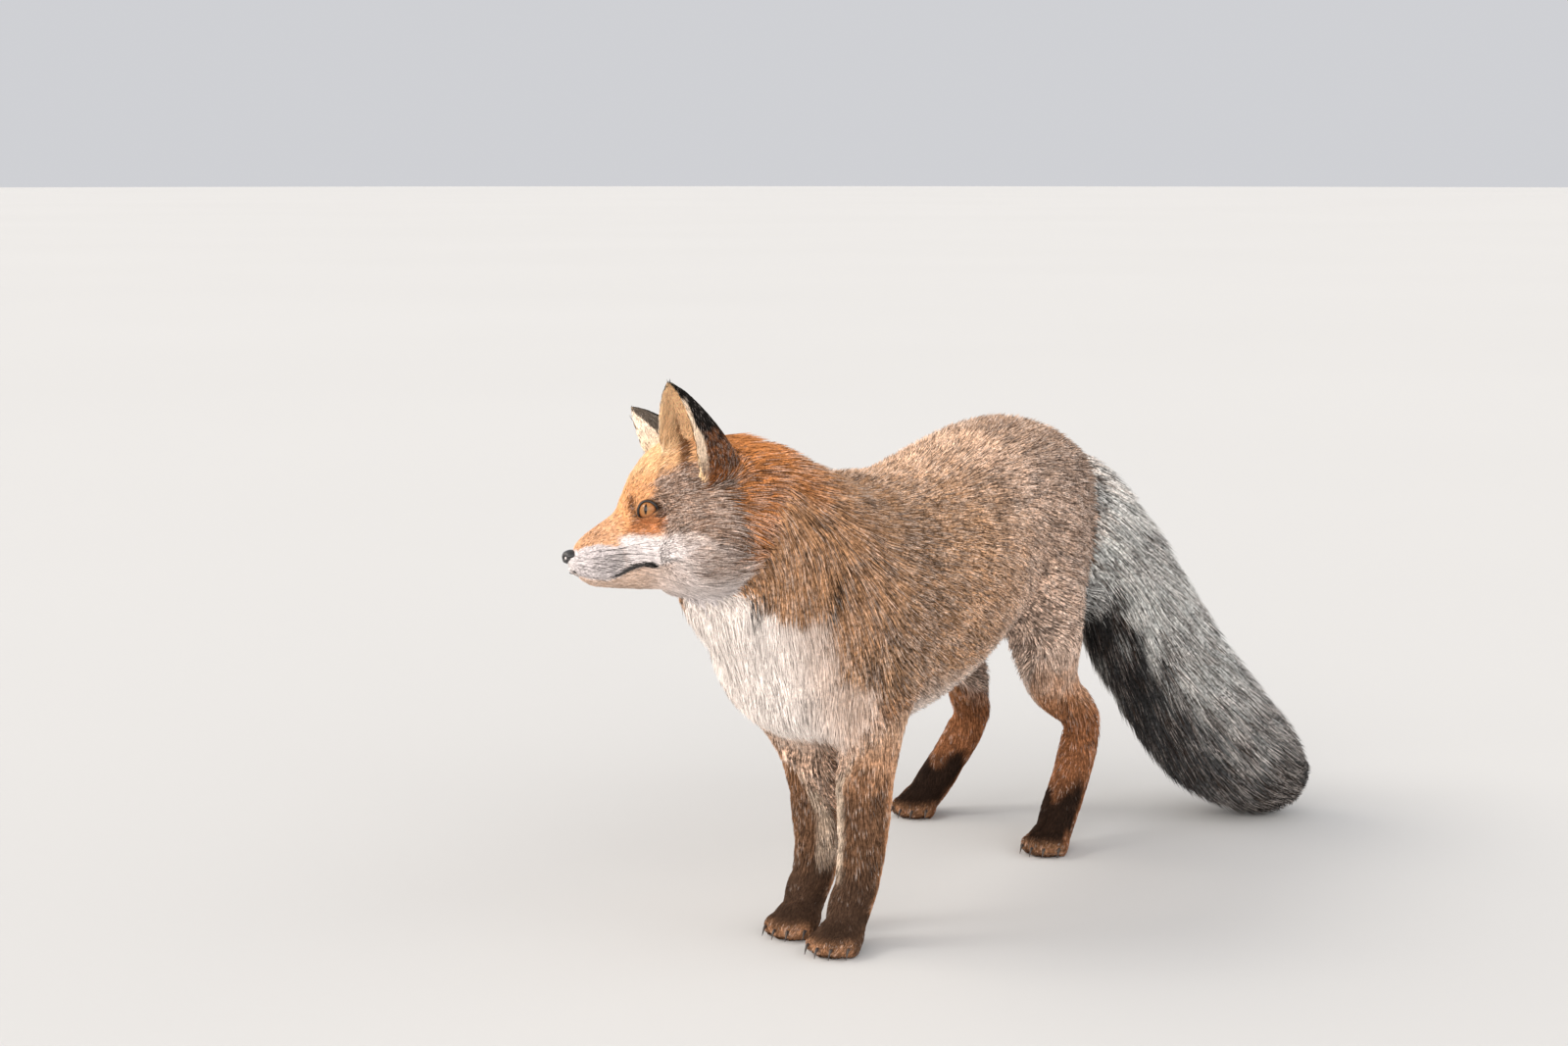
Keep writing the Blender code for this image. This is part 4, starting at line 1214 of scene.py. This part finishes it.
def spotted_material(name):
    """A surface between two colours, mottled by noise."""
    dark, light, scale, roughness, bump, coat = SPOTTED[name]
    made, tree, shader = nodes_of(name)
    place = add(tree, "ShaderNodeTexCoord")["Object"]
    noise = add(tree, "ShaderNodeTexNoise", {"Scale": scale, "Detail": 3}, {"Vector": place})["Fac"]
    colour = banded_colour(tree, noise, ((0.35, dark), (0.68, light)))
    values = {"Roughness": roughness, "Coat Weight": coat, "Coat Roughness": 0.12}
    wire(tree, shader, values, {"Base Color": colour})
    if bump:
        cells = add(tree, "ShaderNodeTexVoronoi", {"Scale": scale * 1.6}, {"Vector": place})
        raise_by(tree, shader, cells["Distance"], bump, 0.0004)
    return made


def eye_material():
    """An amber iris with dark streaks and rim round an upright slit, and a dark white of the eye."""
    made, tree, shader = nodes_of("wet_eye")
    place = add(tree, "ShaderNodeTexCoord")["Object"]

    def vector(operation, source, scale=None):
        values = {} if scale is None else {1: scale}
        return add(tree, "ShaderNodeVectorMath", values, {0: source}, operation=operation)

    flat = vector("MULTIPLY", place, (1 / EYE_RADIUS, 1 / EYE_RADIUS, 0))["Vector"]
    rings = banded_colour(tree, vector("LENGTH", flat)["Value"], IRIS)
    turned = vector("NORMALIZE", flat)["Vector"]
    streaks = add(tree, "ShaderNodeTexNoise", {"Scale": 9.0, "Detail": 5}, {"Vector": turned})["Fac"]
    span = mapped(tree, streaks, (0.3, 0.7), (0.72, 1.2))
    shaded = add(tree, "ShaderNodeVectorMath", {}, {0: rings, "Scale": span}, operation="SCALE")["Vector"]
    slit = vector("MULTIPLY", place, (1 / PUPIL[0], 1 / PUPIL[1], 0))["Vector"]
    pupil = mapped(tree, vector("LENGTH", slit)["Value"], (0.85, 1.15))
    links = {"Factor": pupil, "B": shaded}
    final = add(tree, "ShaderNodeMix", {"A": PUPIL_BLACK}, links, data_type="RGBA")["Result"]
    values = {"Roughness": 0.35, "Specular IOR Level": 0.0}
    values |= {"Coat Weight": 0.55, "Coat IOR": 1.6, "Coat Roughness": 0.03}
    wire(tree, shader, values, {"Base Color": final})
    return made


# ------------------------------------------------------------------ small pieces
def dress(thing, made):
    thing.data.materials.clear()
    thing.data.materials.append(made)
    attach(thing, "root")


def globe(around, along):
    """Points and triangles of a unit ball with its poles on Z."""
    mesh = bmesh.new()
    bmesh.ops.create_uvsphere(mesh, u_segments=around, v_segments=along, radius=1.0)
    bmesh.ops.triangulate(mesh, faces=mesh.faces)
    data = mesh_of(mesh, "globe")
    made = triangles_of(data)
    bpy.data.meshes.remove(data)
    return made


def eyeball(side, made):
    """A ball with a slightly domed cornea, turned so that its own Z looks out of the opening."""
    points, triangles = globe(56, 36)
    dome = ramp(0.72, 1.0, points[:, 2])
    points = points * (EYE_RADIUS * (1 + 0.045 * dome))[:, None]
    end = "left" if side > 0 else "right"
    thing = mesh_object(f"eyeball_{end}", points, triangles)
    along, upward, outward = eye_axes(side)
    upward = upward * math.cos(EYE_ROLL) + along * math.sin(EYE_ROLL)
    axes = np.column_stack([np.cross(upward, outward), upward, outward])
    place = np.eye(4)
    place[:3, :3] = HEAD_AXES @ axes
    place[:3, 3] = from_head(EYE * (1, side, 1))
    thing.matrix_world = Matrix(place.tolist())
    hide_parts(f"eye_{end}")
    dress(thing, made)


def cord_mesh(course, radii, around=10, closed=False):
    """Points and triangles of a round strip along a course."""
    course, radii = np.asarray(course, float), np.asarray(radii, float)
    count = len(course)
    if closed:
        ahead = unit(np.roll(course, -1, axis=0) - np.roll(course, 1, axis=0))
    else:
        ahead = unit(np.gradient(course, axis=0))
    side = unit(np.cross(ahead, np.array((0.31, 0.21, 0.93))))
    up = np.cross(ahead, side)
    turns = np.arange(around) * math.tau / around
    ring = side[:, None] * np.cos(turns)[None, :, None] + up[:, None] * np.sin(turns)[None, :, None]
    points = (course[:, None] + ring * radii[:, None, None]).reshape(-1, 3)
    triangles = []
    for i in range(count if closed else count - 1):
        j = (i + 1) % count
        for k in range(around):
            m = (k + 1) % around
            a, b, c, d = i * around + k, i * around + m, j * around + m, j * around + k
            triangles += [(a, b, c), (a, c, d)]
    if not closed:
        points = np.vstack([points, course[:1], course[-1:]])
        first, last = len(points) - 2, len(points) - 1
        for k in range(around):
            m = (k + 1) % around
            triangles.append((first, m, k))
            triangles.append((last, (count - 1) * around + k, (count - 1) * around + m))
    return points, np.array(triangles)


def joined(parts):
    points, triangles, start = [], [], 0
    for part_points, part_triangles in parts:
        points.append(part_points)
        triangles.append(part_triangles + start)
        start += len(part_points)
    return np.vstack(points), np.vstack(triangles)


def eyelids():
    """The dark edge of each opening, thickest on the upper lid and at the outer corner."""
    ring, upper = lid_outline()
    parts = []
    for side in (1, -1):
        along, upward, outward = eye_axes(side)
        out = np.sqrt(np.maximum(LID_RADIUS**2 - (ring**2).sum(axis=1), 0)) - LID_BACK
        course = EYE * (1, side, 1) + ring[:, :1] * along + ring[:, 1:] * upward + out[:, None] * outward
        radii = np.where(upper, 0.00085, 0.00008) + 0.0002 * ramp(0.002, 0.008, ring[:, 0])
        radii = spread_ring(radii, 4)
        points, triangles = cord_mesh(course, radii, closed=True)
        parts.append((from_head(points), triangles))
    return mesh_object("eyelids", *joined(parts))


def spread_ring(values, rounds):
    for _ in range(rounds):
        values = (values + np.roll(values, 1) + np.roll(values, -1)) / 3
    return values


def cheek_at(tree, side, forward, up):
    """The place on one side of the head this far forward and up, if there is one."""
    return tree.ray_cast(Vector((forward, side * 0.06, up)), Vector((0, -side, 0)))[0]


def lips(tree):
    """The black edges of the closed mouth on both sides of the muzzle."""
    line = np.array(MOUTH)
    steps = np.linspace(0, len(line) - 1, 60)
    course = np.column_stack([np.interp(steps, np.arange(len(line)), line[:, i]) for i in range(2)])
    course = relaxed(course, 6)
    share = np.linspace(0, 1, len(course))
    radii = 0.00050 + 0.0011 * spot((share, 0.72, 0.19))
    radii *= ramp(1.06, 0.92, share)
    proud = 0.0010 + 0.0012 * ramp(0.3, 0.7, share)
    parts = []
    for side in (1, -1):
        places = []
        for (forward, up), lift in zip(course, proud, strict=True):
            hit = cheek_at(tree, side, forward, up)
            across = hit.y if hit is not None else side * 0.008
            places.append((forward, across + side * lift, up))
        places = np.array(places)
        places[:, 1] = relaxed(places[:, 1], 4)
        points, triangles = cord_mesh(places, radii, around=8)
        parts.append((from_head(points), triangles))
    return mesh_object("lips", *joined(parts))


def nose_pad():
    """The leather of the nose, with a nostril and its slit on each side and a groove down the middle."""
    points, triangles = globe(64, 44)
    way = points.copy()
    points = points * NOSE_SIZE
    points[:, 2] += 0.0008 * ramp(0.2, 1.0, way[:, 0]) * ramp(0, 1, way[:, 2])
    points[:, 1] *= 1 - 0.20 * ramp(0.1, -0.9, way[:, 2])
    points[:, 2] *= 1 - 0.22 * ramp(0.0, -0.6, way[:, 2])
    across, up = abs(points[:, 1]), points[:, 2]
    front = ramp(0.05, 0.45, way[:, 0])
    pit = spot((across, 0.0036, 0.0017), (up, 0.0002, 0.0014))
    slit = spot((up + 0.0006 + 0.10 * (across - 0.004), 0, 0.0007)) * ramp(0.0036, 0.0046, across)
    groove = spot((across, 0, 0.0006)) * ramp(0.003, -0.001, up)
    points[:, 0] -= front * (0.0030 * pit + 0.0006 * groove)
    sides = ramp(-0.35, 0.15, way[:, 0])
    points[:, 1] -= np.sign(points[:, 1]) * sides * 0.0010 * slit
    return mesh_object("nose_pad", from_head(points + NOSE), triangles)


def whiskers(tree, dice):
    """Stiff hairs from the whisker beds, curving back."""
    parts = []
    for side in (1, -1):
        for row in range(4):
            for place in range(5):
                forward = 0.058 + 0.0055 * place + 0.002 * (row % 2)
                up = -0.0080 - 0.0036 * row + 0.0006 * place
                hit = cheek_at(tree, side, forward, up)
                if hit is None:
                    continue
                length = dice.uniform(0.026, 0.050) * (1.15 - 0.12 * place)
                t = np.linspace(0, 1, 12)[:, None]
                out = unit(np.array((-0.75, side * 0.60, 0.05 - 0.14 * row + dice.uniform(-0.08, 0.08))))
                bend = np.array((-0.35, 0, -0.25)) * length
                course = np.array(hit) + out * length * t + bend * t**2
                radii = 0.00016 * (1 - t[:, 0]) ** 0.7 + 0.00003
                points, triangles = cord_mesh(course, radii, around=5)
                parts.append((from_head(points), triangles))
    return mesh_object("whiskers", *joined(parts))


def claws():
    """A dark, curved claw at the front of each toe."""
    parts = []
    for x, y in FEET:
        for place in TOES:
            forward = 0.0335 if abs(place) < 1 else 0.0255
            spread_y = place * HALF_FOOT * 0.50 + place * 0.0012
            t = np.linspace(0, 1, 10)[:, None]
            start = np.array((x - forward, y + spread_y, 0.0095)) + BODY
            course = start + np.array((-0.0060, 0.0003 * place, 0)) * t + np.array((0, 0, -0.0070)) * t**2
            radii = 0.0012 * (1 - t[:, 0] ** 1.6) + 0.0002
            parts.append(cord_mesh(course, radii, around=9))
    return mesh_object("claws", *joined(parts))


# ------------------------------------------------------------------------- build
def build_skin():
    """The skin inside the coat's outline, with its lids and lips, and the coat's fields on it."""
    points, triangles = fused_skin()
    edges = edges_of(triangles)
    points = evened_chest(eased(points, edges, OUTLINE_ROUNDS), triangles, edges)
    region = region_of(points)
    fields = coat_fields(points, normals_of(points, triangles), region)
    fields = spread(fields, edges, FIELD_ROUNDS)
    outline = BVHTree.FromPolygons(points.tolist(), triangles.tolist())
    for _ in range(STEPS_INWARD):
        normals = spread(normals_of(points, triangles), edges, 3)
        points = points - unit(normals) * (fields[:, :1] / STEPS_INWARD)
        points = eased(points, edges, 1)
    whole = points
    points, triangles = thinned(points, triangles)
    source = nearest(whole, points)
    edges = edges_of(triangles)
    head = in_head(points)
    near_face = ramp(0.0, 0.01, head[:, 0])[:, None]
    points = points + (eased(points, edges, 3) - points) * near_face
    shaped = with_lids(with_mouth(in_head(points)))
    points = np.where(near_face > 0, from_head(shaped), points)
    points[:, 2] = np.maximum(points[:, 2], SKIN_FLOOR)
    return Coat(points, triangles, region[source], fields[source]), outline


def build_fox():
    coat, outline = build_skin()
    kinds = KINDS[coat.region]
    colour, _, _ = markings(coat.points, coat.normals, kinds)
    skin = mesh_object("skin", coat.points, coat.triangles, colour * 0.80, np.full(len(colour), 0.5))
    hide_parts(*FLESH)
    dress(skin, fur_material("short_fur", 700.0, 0.60, 0.8))

    hair = fur_material("hair", 330.0, 1.00, 0.0)
    fine_hair = fur_material("fine_hair", 650.0, 0.70, 0.0)
    slots = dict.fromkeys(("coat_shoulders", "coat_flanks", "coat_rump"), "brown_coat")
    slots["coat_brush"] = "grey_coat"
    pieces = piece_of(coat)
    for seed, (name, count) in enumerate(TUFTS.items()):
        tufts = grow(coat, outline, name, np.flatnonzero(pieces == name), count, 100 + seed)
        dress(tufts, fine_hair if name in FINE_PIECES else hair)

    flat = [Vector(point) for point in in_head(coat.points)]
    near = np.flatnonzero(in_head(coat.points)[coat.triangles].min(axis=1)[:, 0] > 0.0)
    tree = BVHTree.FromPolygons(flat, coat.triangles[near].tolist())
    wet = eye_material()
    for side in (1, -1):
        eyeball(side, wet)
    rim = spotted_material("rim")
    nose = nose_pad()
    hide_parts("nose")
    dress(nose, spotted_material("leather"))
    dress(eyelids(), rim)
    dress(lips(tree), rim)
    dress(claws(), spotted_material("horn"))
    dress(whiskers(tree, np.random.default_rng(5)), spotted_material("stiff_hair"))


def aimed(name, data, place, way):
    """A light or camera at this place that looks this way."""
    made = linked(name, data)
    made.location = place
    made.rotation_mode = "QUATERNION"
    made.rotation_quaternion = way.to_track_quat("-Z", "Y")
    return made


def build_stage():
    """A pale floor, soft light and the camera."""
    work = bmesh.new()
    bmesh.ops.create_circle(work, cap_ends=True, segments=96, radius=FLOOR_RADIUS)
    floor = linked("floor", mesh_of(work, "floor"))
    floor.data.materials.append(spotted_material("pale_floor"))
    world = bpy.data.worlds.new("studio")
    world.use_nodes = True
    background = world.node_tree.nodes["Background"]
    background.inputs["Color"].default_value = SKY_COLOUR
    background.inputs["Strength"].default_value = SKY_STRENGTH
    scene = bpy.context.scene
    scene.world = world
    for name, source, strength, colour, width in LIGHTS:
        data = bpy.data.lights.new(name, "SUN")
        data.energy, data.angle, data.color = strength, math.radians(width), colour
        aimed(name, data, Vector(source), -Vector(source))
    data = bpy.data.cameras.new("camera")
    data.sensor_width, data.lens = SENSOR, LENS
    level, fall = math.cos(-CAMERA_FALL), math.sin(-CAMERA_FALL)
    way = Vector((math.cos(CAMERA_TURN) * level, math.sin(CAMERA_TURN) * level, fall))
    scene.camera = aimed("camera", data, Vector(CAMERA) + Vector(BODY), way)
    scene.view_settings.view_transform = "Standard"


build_fox()
build_stage()
